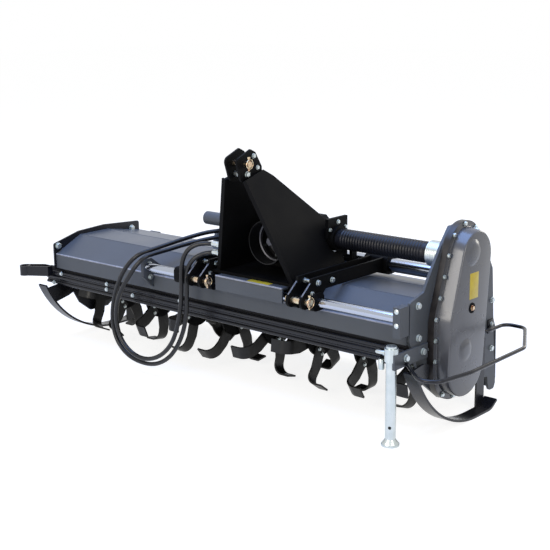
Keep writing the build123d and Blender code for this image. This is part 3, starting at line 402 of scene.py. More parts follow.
# cast vinyl film, blank: flat yellow that the weather has dulled
yellow_vinyl = new_material("yellow_vinyl", "#d9bf2e", 0.35)
patchy(yellow_vinyl, "#cfb232", "#e0ca3a", 30 * MM)
print("plastics ready")

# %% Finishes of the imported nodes
FINISHES = {
    "grey_paint": grey_enamel, "black_paint": black_coat, "tine_steel": tine_lacquer,
    "chrome": hard_chrome, "zinc": bright_zinc, "gold_zinc": yellow_zinc,
    "black_plastic": black_plastic, "rubber": bellows_rubber,
}
OWN_FINISHES = {  # nodes that are smoother than the rest of their slot
    "gear_cover": cover_enamel, "front_rail": black_gloss, "skid_left": black_gloss,
    "skid_right": black_gloss, "spare_bracket": black_gloss, "hoop_guard": black_gloss,
    "left_end_plate": black_gloss,
}
for subpart in frame["record"]["subparts"]:
    materials = NODES[subpart["node"]].data.materials
    finish = OWN_FINISHES.get(subpart["node"], FINISHES[subpart["material_slot"]])
    if not materials:
        materials.append(finish)
    for i in range(len(materials)):
        materials[i] = finish
print(len(FINISHES), "finishes on", len(NODES), "nodes")

# %% [markdown]
# ## Turned and bolted parts
# Nearly all the small hardware is round, six-sided or a plate, so three helpers shape it: one
# turns a profile round an axis, as a lathe does, one stands a disc or a hexagon on a place, and
# one makes a block with broken edges. A fourth finishes the mesh and hands it to the frame.
# Places are in millimetres, as on a drawing.

# %% Places
RIGHT, LEFT, FORWARD, UP, DOWN = (1, 0, 0), (-1, 0, 0), (0, -1, 0), (0, 0, 1), (0, 0, -1)


def facing(place, axis):
    """The matrix that stands a part on a place in mm, pointing along an axis."""
    turn = Vector(axis).to_track_quat("Z", "Y").to_matrix().to_4x4()
    return Matrix.Translation(Vector(place) * MM) @ turn


print("places are in mm, and directions are", RIGHT, "for right,", FORWARD, "for forward")

# %% Turned shapes, discs and blocks
def add_turned(bm, where, profile, steps=40, closed=True):
    """Turn a profile of (radius, height) in mm round the part's own axis."""
    verts = [bm.verts.new(where @ (Vector((radius, 0, height)) * MM))
             for radius, height in profile]
    ends = verts[1:] + verts[:1] if closed else verts[1:]
    edges = [bm.edges.new(pair) for pair in zip(verts, ends)]
    bmesh.ops.spin(bm, geom=verts + edges, cent=where.translation, axis=where.col[2].xyz,
                   dvec=(0, 0, 0), angle=2 * math.pi, steps=steps, use_merge=True,
                   use_normal_flip=False, use_duplicate=False)


def add_disc(bm, where, radius, height, lift=0.0, sides=24):
    """A round or many-sided solid, standing on a place; its faces come back."""
    up = Matrix.Translation((0, 0, (lift + height / 2) * MM))
    made = bmesh.ops.create_cone(bm, cap_ends=True, segments=sides, radius1=radius * MM,
                                 radius2=radius * MM, depth=height * MM, matrix=where @ up)
    return list({face for vert in made["verts"] for face in vert.link_faces})


def add_block(bm, low, high, broken=1.0):
    """A block between two corners in mm, with its edges broken."""
    low, high = Vector(low) * MM, Vector(high) * MM
    place = Matrix.Translation((low + high) / 2) @ Matrix.Diagonal((*(high - low), 1))
    made = bmesh.ops.create_cube(bm, size=1.0, matrix=place)
    edges = list({edge for vert in made["verts"] for edge in vert.link_edges})
    bmesh.ops.bevel(bm, geom=edges, offset=broken * MM, offset_type="OFFSET", segments=2,
                    profile=0.5, affect="EDGES", material=-1)


print("three shapes are ready: turned, disc and block")

# %% Finishing a mesh
SAME_PLACE = 0.002 * MM  # points nearer than this are one


def finished(bm, name, body, material, sharp=35):
    """A piece from a bmesh: doubles merged, faces outwards, smooth but for its sharp edges."""
    bmesh.ops.remove_doubles(bm, verts=bm.verts, dist=SAME_PLACE)
    bmesh.ops.recalc_face_normals(bm, faces=bm.faces)
    for face in bm.faces:
        face.smooth = True
    for edge in bm.edges:
        if edge.is_manifold and edge.calc_face_angle() > math.radians(sharp):
            edge.smooth = False
    triangles = sum(len(face.verts) - 2 for face in bm.faces)
    mesh = bpy.data.meshes.new(name)
    bm.to_mesh(mesh)
    bm.free()
    mesh.materials.append(material)
    piece = bpy.data.objects.new(name, mesh)
    bpy.context.collection.objects.link(piece)
    if body:
        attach(piece, body)
    print(name, triangles, "triangles on", body or "two bodies")
    return piece


print("points within", SAME_PLACE / MM, "mm are merged")

# %% [markdown]
# ## Bolts
# A bolt shows its washer and its hexagon head, whose top is chamfered. All its sizes are shares of
# the thread, as in the standard tables. A bevel would cost faces on every edge of a hundred heads,
# so the head is a six-sided disc, and only its top face is inset and raised for the chamfer.

# %% A bolt
WASHER_R, WASHER_T = 1.08, 0.17  # these are all shares of the thread's size
BOLT_HEAD_R, BOLT_HEAD_T = 0.92, 0.6
CHAMFER_IN, CHAMFER_UP = 0.13, 0.09


def add_bolt(bm, place, axis, size):
    """A hexagon bolt of that thread size with its washer, as it shows when it is tightened."""
    where = facing(place, axis)
    add_disc(bm, where, WASHER_R * size, WASHER_T * size)
    head = add_disc(bm, where, BOLT_HEAD_R * size, BOLT_HEAD_T * size, WASHER_T * size, sides=6)
    for face in head:
        face.normal_update()
    along = Vector(axis).normalized()
    top = max(head, key=lambda face: face.normal.dot(along))
    bmesh.ops.inset_individual(bm, faces=[top], thickness=CHAMFER_IN * size * MM,
                               depth=CHAMFER_UP * size * MM)


print("a 12 mm bolt's head is", round(2 * BOLT_HEAD_R * 12), "mm over its corners")

# %% [markdown]
# ## Where the hardware stands
# Hardware stands on faces of the imported parts, so each face is read from the frame's boxes, and
# moves with its part when the construction model changes. Steps within a part, such as a flange,
# are added to it, and the places on a face are listed in tables.

# %% Faces of the imported parts, in mm
def side(node, axis, high):
    """Where a node ends along an axis (0, 1 or 2), in mm."""
    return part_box(node)[1 if high else 0][axis] / MM


def middle(node, axis):
    """The middle of a node along an axis, in mm."""
    return (side(node, axis, True) + side(node, axis, False)) / 2


PLATE_X = side("right_side_plate", 0, True)
FLANGE_X = PLATE_X + 30  # the gear cover's flange
COVER_X = PLATE_X + 92  # the gear cover's face
END_PLATE_X = side("left_end_plate", 0, True)
RAIL_Y = side("front_rail", 1, False)
BLOCK_Y = side("right_tube_bracket", 1, False)
BRACKET_X = side("front_tube_bracket", 0, True)
STAND_ARM_X = side("stand_bracket", 0, True)
BEARING_X = side("rotor_bearing", 0, False) + 32  # the bearing's flange
RAIL_TOP_Z = side("front_rail", 2, True) - 17  # the rail's upper rib
RAIL_LOW_Z = side("front_rail", 2, False)
ROTOR_Z = 255  # the height of the rotor's axis
GUARD_BRACKET_T = 6
HEAD_X = middle("pto_guard", 0)
SHAFT_Y, SHAFT_Z = middle("bellows", 1), middle("bellows", 2)
print("headstock at", round(HEAD_X), "drive shaft at", round(SHAFT_Y), round(SHAFT_Z))

# %% [markdown]
# ## Bolts of the frame
# Bright bolts hold the end plates, the brackets, the ribbed rail and the rotor's bearing. They
# could be linked copies of one bolt. They are set out from tables into one mesh instead, because
# they all move with the frame and the export counts each object as a piece.

# %% Frame bolts
FRAME_BOLTS = [  # x, y, z, direction, thread size
    (END_PLATE_X, -250, 494, RIGHT, 16), (END_PLATE_X, 245, 508, RIGHT, 16),
    (BRACKET_X, -290, 510, RIGHT, 12), (BRACKET_X, -285, 447, RIGHT, 12),
    (PLATE_X, -206, 532, RIGHT, 14), (PLATE_X, -118, 428, RIGHT, 10),
    (PLATE_X, -200, 401, RIGHT, 14), (PLATE_X, -129, 342, RIGHT, 12),
    (STAND_ARM_X, -296, 345, RIGHT, 14), (STAND_ARM_X, -180, 344, RIGHT, 14),
    (PLATE_X, 360, 226, RIGHT, 12), (PLATE_X, 354, 440, RIGHT, 12),
    (PLATE_X + GUARD_BRACKET_T, 345, 338, RIGHT, 10),
]
RAIL_BOLTS = [  # x, z
    (-1155, RAIL_TOP_Z - 6), (-1071, RAIL_TOP_Z - 6), (-727, RAIL_TOP_Z - 6),
    (-226, RAIL_TOP_Z - 6),
    (-1132, RAIL_LOW_Z + 6), (-730, RAIL_LOW_Z + 33), (-544, RAIL_LOW_Z + 33),
]
RAIL_BOLT, BEARING_BOLT, BEARING_BOLTS_R = 9, 12, 61  # two thread sizes, and a ring's radius

bm = bmesh.new()
for x, y, z, direction, size in FRAME_BOLTS:
    add_bolt(bm, (x, y, z), direction, size)
for x, z in RAIL_BOLTS:
    add_bolt(bm, (x, RAIL_Y, z), FORWARD, RAIL_BOLT)
for turn in range(4):
    angle = math.radians(45 + 90 * turn)
    add_bolt(bm, (BEARING_X, BEARING_BOLTS_R * math.cos(angle),
                  ROTOR_Z + BEARING_BOLTS_R * math.sin(angle)), LEFT, BEARING_BOLT)
finished(bm, "frame_bolts", "frame", bright_zinc)

# %% [markdown]
# ## Outline and bolts of the gear case
# The gear case wraps three gears in a row, so its rim is the tight outline of three circles, and a
# convex hull gives that from points on them. A row of bolts closes it. They are spaced evenly by
# walking round the rim, which no table could keep even.

# %% Outline of the gear case
CASE_ROUNDS = [(75, 700, 126), (13, 440, 150), (13, 255, 150)]  # y, z, radius of the rim
FACE_ROUNDS = [(75, 688, 104), (13, 440, 117), (13, 255, 127)]  # the same of the cover's face


def case_outline(inset, rounds=CASE_ROUNDS):
    """The gear case's outline as (y, z) points, that far inside its rim or its cover's face."""
    ring = [Vector((y + (radius - inset) * math.cos(math.radians(a)),
                    z + (radius - inset) * math.sin(math.radians(a))))
            for y, z, radius in rounds for a in range(0, 360, 3)]
    return [ring[i] for i in geometry.convex_hull_2d(ring)]


def case_rim(inset, pitch):
    """Evenly spaced (y, z) round the gear case, that far inside its rim."""
    rim = case_outline(inset)
    runs = [(start, end) for start, end in zip(rim, rim[1:] + rim[:1])]
    length = sum((end - start).length for start, end in runs)
    count = round(length / pitch)
    places, gone, due = [], 0.0, 0.0
    for start, end in runs:
        run = (end - start).length
        while due < gone + run and len(places) < count:
            places.append(start.lerp(end, (due - gone) / run))
            due += length / count
        gone += run
    return places


print("the gear case's outline has", len(case_outline(0)), "points")

# %% Gear case bolts
SHADE_BAND_PROUD = 1.4  # how far the band of painted shade stands out of the joint
RIM_INSET, RIM_PITCH, RIM_BOLT = 10, 86, 9.5

bm = bmesh.new()
for y, z in case_rim(RIM_INSET, RIM_PITCH):
    add_bolt(bm, (FLANGE_X + SHADE_BAND_PROUD, y, z), RIGHT, RIM_BOLT)
finished(bm, "gear_case_bolts", "frame", bright_zinc)

# %% [markdown]
# ## Painted shade round the gear case
# The cover's flange shows as a dark band, and that band is painted shade: a thin dark film laid
# round the joint. The flange's outline is inset to a ring, its outer edge is drawn back to the
# case as a skirt, and solidify gives both their thickness.

# %% Painted shade band
# painted shade round the flange: a dark, smooth, a little brown film standing for the shade at the
# joint
painted_flange_shade = new_material("painted_flange_shade", "#262322", 0.34, gloss=0.4)
patchy(painted_flange_shade, "#1c1a1a", "#35302d", 45 * MM, (0.26, 0.42))
SHADE_BAND_WIDTH = 21
SHADE_BAND_FOOT_X = PLATE_X + 4
SHADE_BAND_FILM = 0.9  # its thickness

bm = bmesh.new()
rim = [bm.verts.new(Vector((FLANGE_X + SHADE_BAND_PROUD, y, z)) * MM) for y, z in case_outline(-SHADE_BAND_PROUD)]
plate = bm.faces.new(rim)
bmesh.ops.inset_region(bm, faces=[plate], thickness=SHADE_BAND_WIDTH * MM, use_even_offset=True)
bmesh.ops.delete(bm, geom=[plate], context="FACES_ONLY")
edge = [e for e in bm.edges if all(v in rim for v in e.verts)]
grown = bmesh.ops.extrude_edge_only(bm, edges=edge)["geom"]
skirt = [item for item in grown if isinstance(item, bmesh.types.BMVert)]
bmesh.ops.translate(bm, vec=((SHADE_BAND_FOOT_X - FLANGE_X - SHADE_BAND_PROUD) * MM, 0, 0), verts=skirt)
bmesh.ops.recalc_face_normals(bm, faces=bm.faces)
bmesh.ops.solidify(bm, geom=bm.faces[:], thickness=SHADE_BAND_FILM * MM)
finished(bm, "case_shade_band", "frame", painted_flange_shade)

# %% [markdown]
# ## Gear case cover
# The cover is pressed from one sheet: a flat flange, a leaning wall, a rounded edge and two soft
# bulges over the shafts' ends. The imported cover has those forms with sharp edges, and a bevel
# would round them all alike. So loops of the same outline are bridged one after the other, with
# more of them where the edge is rounded, and the bulges are turned profiles let into the face.

# %% Pressed cover
COVER_LOOPS = [  # outline, inset in mm, x in mm
    (CASE_ROUNDS, 0, side("gear_cover", 0, False)), (CASE_ROUNDS, 0, FLANGE_X),
    (CASE_ROUNDS, 20, FLANGE_X), (CASE_ROUNDS, 23, FLANGE_X + 2),
    (FACE_ROUNDS, -2.2, COVER_X - 9), (FACE_ROUNDS, -0.6, COVER_X - 4),
    (FACE_ROUNDS, 2.0, COVER_X - 1.2), (FACE_ROUNDS, 6.0, COVER_X),
]
BULGES = [  # y, z, (radius, height) profile
    (38, 712, [(0, 13.5), (22, 13), (35, 10.5), (43, 6.5), (49, 2.5), (54, 0), (54, -3)]),
    (0, 321, [(0, 8), (20, 7.6), (31, 5.8), (38, 3), (43, 1), (48, 0), (48, -3)]),
]

bm = bmesh.new()
loops = []
for rounds, inset, x in COVER_LOOPS:
    line = [bm.verts.new(Vector((x, y, z)) * MM) for y, z in case_outline(inset, rounds)]
    loops.append([bm.edges.new(pair) for pair in zip(line, line[1:] + line[:1])])
    if inset == 0 and x < FLANGE_X:
        bm.faces.new(line)
bm.faces.new(line)
for loop, following in zip(loops, loops[1:]):
    bmesh.ops.bridge_loops(bm, edges=loop + following)
for y, z, profile in BULGES:
    add_turned(bm, facing((COVER_X, y, z), RIGHT), profile, steps=48, closed=False)
cover = finished(bm, "pressed_gear_cover", "frame", cover_enamel)
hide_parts("gear_cover")

# %% [markdown]
# ## Bend lines
# A press brake leaves a small radius along each fold of the hood, and that radius is what catches
# the light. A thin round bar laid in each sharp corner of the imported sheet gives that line, and
# costs far fewer faces than rounding the sheet itself.

# %% Bend lines
BEND_R = 4.0
BEND_PROUD = 1.1  # how far the bar stands out of the sharp corner
HOOD_FOLDS = [(-264, 383), (-264, 455), (-104, 530), (78, 530), (300, 492)]  # y, z, front to rear


def add_bend(bm, start_x, end_x, before, corner, after):
    """A round bar along X in the corner of a folded sheet, given as three (y, z) points."""
    corner = Vector(corner)
    inward = (Vector(before) - corner).normalized() + (Vector(after) - corner).normalized()
    inward.normalize()
    place = corner + inward * (BEND_R - BEND_PROUD)
    add_disc(bm, facing((start_x, *place), RIGHT), BEND_R, end_x - start_x, sides=32)


HOOD_LEFT, HOOD_RIGHT = side("hood", 0, False) + 1, side("hood", 0, True) - 1

bm = bmesh.new()
# the front fold's bar is coloured paler than the sheet: a painted highlight line
add_bend(bm, HOOD_LEFT, HOOD_RIGHT, *HOOD_FOLDS[:3])
finished(bm, "hood_front_bend", "frame", painted_highlight_enamel)

bm = bmesh.new()
for i in (1, 2):
    add_bend(bm, HOOD_LEFT, HOOD_RIGHT, *HOOD_FOLDS[i:i + 3])
finished(bm, "hood_top_bends", "frame", grey_enamel)

BEAM_LEFT, BEAM_RIGHT = side("front_crossbeam", 0, False) + 1, side("front_crossbeam", 0, True) - 1
BEAM_TOP_Z = side("front_crossbeam", 2, True)
BEAM_FOLD = [(-346, 480), (-346, BEAM_TOP_Z), (-300, BEAM_TOP_Z)]

bm = bmesh.new()
# the crossbeam's bar is also a painted highlight line, paler than its paint
add_bend(bm, BEAM_LEFT, BEAM_RIGHT, *BEAM_FOLD)
finished(bm, "crossbeam_bend", "headstock", painted_highlight_enamel)

# %% [markdown]
# ## Gear case fittings
# The cover has an oil level plug in a cast boss and a breather on its flange. The boss and the
# breather are turned profiles, and the plug is a yellow hexagon, which a wrench reaches.

# %% Plug and breather
PLUG_Y, PLUG_Z, PLUG_THREAD = 40, 487, 10
PLUG_BOSS = [(0, -1), (22, -1), (21, 3), (15, 4), (14, 1), (0, 1)]  # radius, height
BREATHER_Y, BREATHER_Z = 138, 783
BREATHER = [(0, 0), (10, 0), (10, 6), (8, 8), (8, 20), (6, 25), (0, 26)]

bm = bmesh.new()
add_turned(bm, facing((COVER_X, PLUG_Y, PLUG_Z), RIGHT), PLUG_BOSS, closed=False)
finished(bm, "plug_boss", "frame", black_coat)

bm = bmesh.new()
add_bolt(bm, (COVER_X + 1, PLUG_Y, PLUG_Z), RIGHT, PLUG_THREAD)
finished(bm, "level_plug", "frame", yellow_zinc)

bm = bmesh.new()
add_turned(bm, facing((FLANGE_X, BREATHER_Y, BREATHER_Z), RIGHT), BREATHER, closed=False)
finished(bm, "case_breather", "frame", bright_zinc)

# %% [markdown]
# ## Blank labels
# Two blank vinyl labels are stuck on, one to the gear cover and one to the crossbeam. They could
# be patches of colour in the paint, but real film has an edge that catches light. So each is a
# thin block let into its face, which stands out less than a millimetre.

# %% Labels
LABELS = [  # name, body, two corners
    ("case_label", "frame", (COVER_X - 0.5, 20, 523), (COVER_X + 0.5, 84, 629)),
    ("beam_label", "headstock", (HEAD_X - 15, -342, BEAM_TOP_Z - 0.5),
     (HEAD_X + 105, -306, BEAM_TOP_Z + 0.8)),
]
for name, body, low, high in LABELS:
    bm = bmesh.new()
    add_block(bm, low, high, 0.3)
    finished(bm, name, body, yellow_vinyl)

# %% [markdown]
# ## Tube seat and guard bracket
# The guide tube's seat is held by round-headed bolts, low enough for the stand to slide up past
# them, and the hoop guard's rear end by a small welded plate. The heads are turned profiles.

# %% Tube seat bolts
SEAT_HEAD = [(0, 0), (10.5, 0), (10, 1.8), (7, 3.6), (0, 4.4)]  # radius, height
SEAT_X, SEAT_BOLTS_Z = PLATE_X - 16, (530, 474)

bm = bmesh.new()
for z in SEAT_BOLTS_Z:
    add_turned(bm, facing((SEAT_X, BLOCK_Y, z), FORWARD), SEAT_HEAD, steps=28, closed=False)
finished(bm, "seat_bolts", "frame", bright_zinc)

# %% Guard bracket
bm = bmesh.new()
add_block(bm, (PLATE_X, 322, 298), (PLATE_X + GUARD_BRACKET_T, 366, 358), 2.0)
finished(bm, "guard_bracket", "frame", black_gloss)

# %% [markdown]
# ## Hinge curtain
# A strip of rubber hangs inside the hood's rear edge and keeps soil off the tailboard's hinge. It
# is cut from flat sheet, so a plain block with softened edges is all it needs.

# %% Curtain
CURTAIN_Y, CURTAIN_T = 291, 4
CURTAIN_LOW_Z, CURTAIN_TOP_Z = 392, 489
CURTAIN_SHORT = 8  # at each end, clear of the end plates

bm = bmesh.new()
add_block(bm, (HOOD_LEFT + CURTAIN_SHORT, CURTAIN_Y, CURTAIN_LOW_Z),
          (HOOD_RIGHT - CURTAIN_SHORT, CURTAIN_Y + CURTAIN_T, CURTAIN_TOP_Z), 1.0)
finished(bm, "hinge_curtain", "frame", bellows_rubber)

# %% [markdown]
# ## Headstock hardware
# Each lower arm is two plates with a spacer bolted between them, and the top hitch is two plates
# on a spacer and a through bolt. The record gives the hitch pins' places, so everything here is
# measured from those, and both arms get the same bolts in one loop.

# %% Headstock bolts and spacers
PINS = {mount["name"]: Vector(mount["pos_m"]) / MM for mount in frame["record"]["mounts"]}
LOWER_PINS = ("lower_hitch_left", "lower_hitch_right")
EAR_HALF, EAR_T = 41, 12  # half of an ear pair's width over all, and its plates' thickness
TOP_HALF = 36
SPACER_Y, SPACER_Z = -282, 571
SPACER_R, NUT_R, NUT_T = 8, 12, 9
EAR_BOLTS = [(SPACER_Y, SPACER_Z, 12), (-320, 533, 10), (-190, 566, 12)]  # y, z, thread size
TOP_BOLTS = [(8, -44, 12), (49, 28, 10), (72, -22, 9)]  # y, z from the top pin, thread size
TOP_SPACER_L = 50
TOP_SPACER = [(10.2, 0), (13.5, 0), (13.5, TOP_SPACER_L), (10.2, TOP_SPACER_L)]  # radius, height

bm = bmesh.new()
for mount in LOWER_PINS:
    outer = PINS[mount].x + EAR_HALF
    inner = PINS[mount].x - EAR_HALF + EAR_T
    gap = 2 * EAR_HALF - 2 * EAR_T
    where = facing((inner, SPACER_Y, SPACER_Z), RIGHT)
    add_disc(bm, where, SPACER_R, gap, sides=20)
    add_disc(bm, where, NUT_R, NUT_T, sides=6)
    add_disc(bm, where, NUT_R, NUT_T, gap - NUT_T, sides=6)
    for y, z, size in EAR_BOLTS:
        add_bolt(bm, (outer, y, z), RIGHT, size)
    y, z, size = EAR_BOLTS[-1]
    add_bolt(bm, (inner - EAR_T, y, z), LEFT, size)
top = PINS["top_hitch"]
for dy, dz, size in TOP_BOLTS:
    add_bolt(bm, (top.x + TOP_HALF, top.y + dy, top.z + dz), RIGHT, size)
    add_bolt(bm, (top.x - TOP_HALF, top.y + dy, top.z + dz), LEFT, size)
dy, dz, _ = TOP_BOLTS[0]
add_turned(bm, facing((top.x - TOP_SPACER_L / 2, top.y + dy, top.z + dz), RIGHT), TOP_SPACER)
finished(bm, "headstock_bolts", "headstock", bright_zinc)

# %% [markdown]
# ## Cut edges of the hitch ears
# The ears' sloping edges look up and catch the light, so they show as thin pale grey lines, and
# those lines are a painted highlight. Painting by angle would grey every edge of the plates. A
# thin strip laid on just these edges is plainer.

# %% Cut edges
# painted highlight on a laser-cut edge: a pale grey, fairly glossy strip where the edge catches
# the light
ear_edge_highlight = new_material("painted_highlight_on_cut_edge", "#6a6a6e", 0.32, gloss=0.6)
patchy(ear_edge_highlight, "#545458", "#7c7c80", 20 * MM, (0.26, 0.42))
EAR_EDGE = (-382, 527), (-322, 578)  # y, z of the ends of each ear's sloping edge
EDGE_WIDTH, EDGE_T = 7.0, 1.2
EDGE_SHORT = 8  # how much shorter the strip is than the edge

bm = bmesh.new()
low, high = (Vector((0, *end)) for end in EAR_EDGE)
run = high - low
size = Matrix.Diagonal((EDGE_WIDTH * MM, EDGE_T * MM, (run.length - EDGE_SHORT) * MM, 1))
for mount in LOWER_PINS:
    for reach in (EAR_HALF - EAR_T / 2, EAR_T / 2 - EAR_HALF):
        place = (low + high) / 2 + Vector((PINS[mount].x + reach, 0, 0))
        bmesh.ops.create_cube(bm, size=1.0, matrix=facing(place, run) @ size)
bmesh.ops.bevel(bm, geom=bm.edges[:], offset=0.3 * MM, offset_type="OFFSET", segments=2,
                profile=0.5, affect="EDGES", material=-1)
finished(bm, "ear_edges", "headstock", ear_edge_highlight)

# %% [markdown]
# ## Lynch pins
# A lynch pin keeps each hitch pin in: a rod through the pin's end, with a spring ring that snaps
# over it. The ring could be a torus. Turning a small circle round the pin makes the same shape
# with the helper that is already here.

# %% Lynch pins
ROD_R, ROD_HEAD_R, ROD_HEAD_T = 4.5, 7.0, 6
ROD_BACK, ROD_OVER, ROD_UNDER, HEAD_OVER = 8, 12, 14, 17  # from the hitch pin's end and its sides
WIRE_R, RING_GAP, RING_OUT = 1.9, 3, 6.5  # the ring's wire, its slack, and its place from the rod
LYNCH_PINS = [  # mount, end of the hitch pin from the mount in mm, pin radius, ring radius
    ("lower_hitch_left", 67, 14, 18), ("lower_hitch_right", 67, 14, 18),
    ("top_hitch", 62, 12.7, 16),
]


def add_spring_ring(bm, where, radius, wire):
    """A ring of round wire."""
    profile = [(radius + wire * math.cos(math.radians(a)), wire * math.sin(math.radians(a)))
               for a in range(0, 360, 36)]
    add_turned(bm, where, profile, steps=36)


bm = bmesh.new()
for mount, end, pin, ring in LYNCH_PINS:
    x, y, z = PINS[mount] + Vector((end - ROD_BACK, 0, 0))
    rod = 2 * pin + ROD_OVER + ROD_UNDER
    add_disc(bm, facing((x, y, z + pin + ROD_OVER), DOWN), ROD_R, rod, sides=14)
    add_disc(bm, facing((x, y, z + pin + HEAD_OVER), DOWN), ROD_HEAD_R, ROD_HEAD_T, sides=14)
    add_spring_ring(bm, facing((x + RING_OUT, y, z), RIGHT), ring + RING_GAP, WIRE_R)
finished(bm, "lynch_pins", "headstock", yellow_zinc)

# %% [markdown]
# ## Front of the gearbox
# Inside the plastic guard a steel clamp ring holds the guard's foot, and a bolted ring keeps the
# bearing of the input shaft. Both are dark phosphated steel, turned from a profile.

# %% Clamp ring and bearing ring
HUB_Y = side("pto_guard", 1, True)
GUARD_R = (side("pto_guard", 0, True) - side("pto_guard", 0, False)) / 2
CLAMP_RING = [(GUARD_R - 5, 0), (GUARD_R - 11, 2), (GUARD_R - 11, 16), (GUARD_R - 5, 18)]
BEARING_RING = [(48, 0), (74, 0), (74, 4), (71, 7), (52, 7), (48, 5)]  # radius, height
CLAMP_Y, RING_Y = HUB_Y - 32, HUB_Y - 4

bm = bmesh.new()
add_turned(bm, facing((HEAD_X, CLAMP_Y, SHAFT_Z), FORWARD), CLAMP_RING, steps=64)
add_turned(bm, facing((HEAD_X, RING_Y, SHAFT_Z), FORWARD), BEARING_RING, steps=56)
finished(bm, "bearing_ring", "headstock", phosphated_steel)

# %% Gearbox bolts
HUB_BOLTS, HUB_BOLTS_R, HUB_BOLT = 8, 83, 6  # how many, on what radius, thread size
GEARBOX_SIDE_X = HEAD_X + 180
GEARBOX_SIDE_BOLTS = [(-18, 728, 9), (36, 757, 9), (88, 728, 9), (88, 640, 9)]  # y, z, thread size

bm = bmesh.new()
for turn in range(HUB_BOLTS):
    angle = math.radians((turn + 0.5) * 360 / HUB_BOLTS)
    add_bolt(bm, (HEAD_X + HUB_BOLTS_R * math.cos(angle), RING_Y,
                  SHAFT_Z + HUB_BOLTS_R * math.sin(angle)), FORWARD, HUB_BOLT)
for y, z, size in GEARBOX_SIDE_BOLTS:
    add_bolt(bm, (GEARBOX_SIDE_X, y, z), RIGHT, size)
finished(bm, "gearbox_bolts", "headstock", bright_zinc)

# %% [markdown]
# ## Splined stub
# The drive enters on a stub with six splines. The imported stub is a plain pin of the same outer
# size. Six grooves could be cut from it with booleans. Drawing some points of its end circle
# inwards and extruding that outline gives the same stub with clean faces.

# %% Splined stub
STUB_R = 17.4
SPLINE_DEPTH = 2.4
SPLINES = 6
STEPS_A_SPLINE = 8
GROOVE_STEPS = (4, 5, 6)  # the steps of each spline that lie in its groove
SEAL_RING_R = 22
STUB_FRONT, STUB_BACK = side("pto_shaft", 1, False), side("pto_shaft", 1, True)

centre = Vector((HEAD_X, HUB_Y, SHAFT_Z)) * MM
bm = bmesh.new()
made = bmesh.ops.create_circle(bm, cap_ends=True, segments=SPLINES * STEPS_A_SPLINE,
                               radius=STUB_R * MM,
                               matrix=facing((HEAD_X, HUB_Y, SHAFT_Z), FORWARD))
around = sorted(made["verts"], key=lambda v: math.atan2(v.co.z - centre.z, v.co.x - centre.x))
for i, vert in enumerate(around):
    if i % STEPS_A_SPLINE in GROOVE_STEPS:
        vert.co = centre + (vert.co - centre) * (1 - SPLINE_DEPTH / STUB_R)
grown = bmesh.ops.extrude_face_region(bm, geom=list(bm.faces))["geom"]
bmesh.ops.translate(bm, vec=(0, (STUB_FRONT - HUB_Y) * MM, 0),
                    verts=[item for item in grown if isinstance(item, bmesh.types.BMVert)])
run = STUB_BACK - HUB_Y
add_turned(bm, facing((HEAD_X, STUB_BACK, SHAFT_Z), FORWARD),
           [(0, 0), (SEAL_RING_R, 0), (SEAL_RING_R, run - 2), (SEAL_RING_R - 2, run), (0, run)],
           closed=False)
stub = finished(bm, "splined_stub", "pto_shaft", phosphated_steel)
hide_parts("pto_shaft")

# %% [markdown]
# ## Bellows
# A moulded rubber tube covers the turning shaft and folds up as the headstock slides. Its walls
# run in shallow waves between two plain cuffs. One profile, turned round the shaft, gives the
# waves.

# %% Bellows
BELLOWS_FOLDS = 30
STEPS_A_FOLD = 8
CREST_SHAPE = 0.8  # under 1, so the crests are broader than the valleys
CUFF, CUFF_R, CUFF_STEP = 20, 43, 4  # length and radius of the plain ends, and the step to them
CREST_R, VALLEY_R, INSIDE_R = 45.0, 43.4, 34.0
COLLAR_LAP = 18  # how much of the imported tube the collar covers

bellows_start, bellows_end = side("bellows", 0, False), side("bellows", 0, True) - COLLAR_LAP
length = bellows_end - bellows_start
fold = (length - 2 * CUFF) / BELLOWS_FOLDS
waves = []
for i in range(BELLOWS_FOLDS * STEPS_A_FOLD + 1):
    rise = 0.5 - 0.5 * math.cos(2 * math.pi * i / STEPS_A_FOLD)
    waves.append((VALLEY_R + (CREST_R - VALLEY_R) * rise ** CREST_SHAPE,
                  CUFF + fold * i / STEPS_A_FOLD))
first_cuff = [(CUFF_R, 0), (CUFF_R, CUFF - CUFF_STEP)]
last_cuff = [(CUFF_R, length - CUFF + CUFF_STEP), (CUFF_R, length)]
inside = [(INSIDE_R, length), (INSIDE_R, 0)]

bm = bmesh.new()
add_turned(bm, facing((bellows_start, SHAFT_Y, SHAFT_Z), RIGHT),
           first_cuff + waves + last_cuff + inside, steps=56)
bellows = finished(bm, "rubber_bellows", None, bellows_rubber, sharp=60)
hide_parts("bellows")
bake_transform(bellows)

# %% [markdown]
# ## Turned collar
# The steel collar at the gear case is turned, with shallow rings left by the tool. A sleeve with
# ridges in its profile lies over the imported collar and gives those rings.

# %% Collar rings
COLLAR_R, COLLAR_BORE_R = 52.6, 43.2
RIDGES, RIDGE_PITCH, FIRST_RIDGE = 11, 8, 4
RIDGE = [(0, 0), (0.6, 2), (0, 4), (-0.4, 6)]  # over COLLAR_R, along the collar

collar_start = bellows_end - 2
collar_length = side("drive_collar", 0, True) - collar_start - 0.5
ridges = [(COLLAR_R + over, FIRST_RIDGE + i * RIDGE_PITCH + at)
          for i in range(RIDGES) for over, at in RIDGE]

bm = bmesh.new()
add_turned(bm, facing((collar_start, SHAFT_Y, SHAFT_Z), RIGHT),
           [(COLLAR_BORE_R, 0)] + ridges
           + [(COLLAR_R, collar_length), (COLLAR_BORE_R, collar_length)], steps=64)
finished(bm, "turned_collar", "frame", bright_zinc, sharp=60)

# %% [markdown]
# ## Hose ends
# A hose is crimped into a steel ferrule, and a nut joins it to its port. The ferrule is a turned
# sleeve with the grooves of the crimp. Each one points along the hose's first run, so it follows
# the route if that is changed.

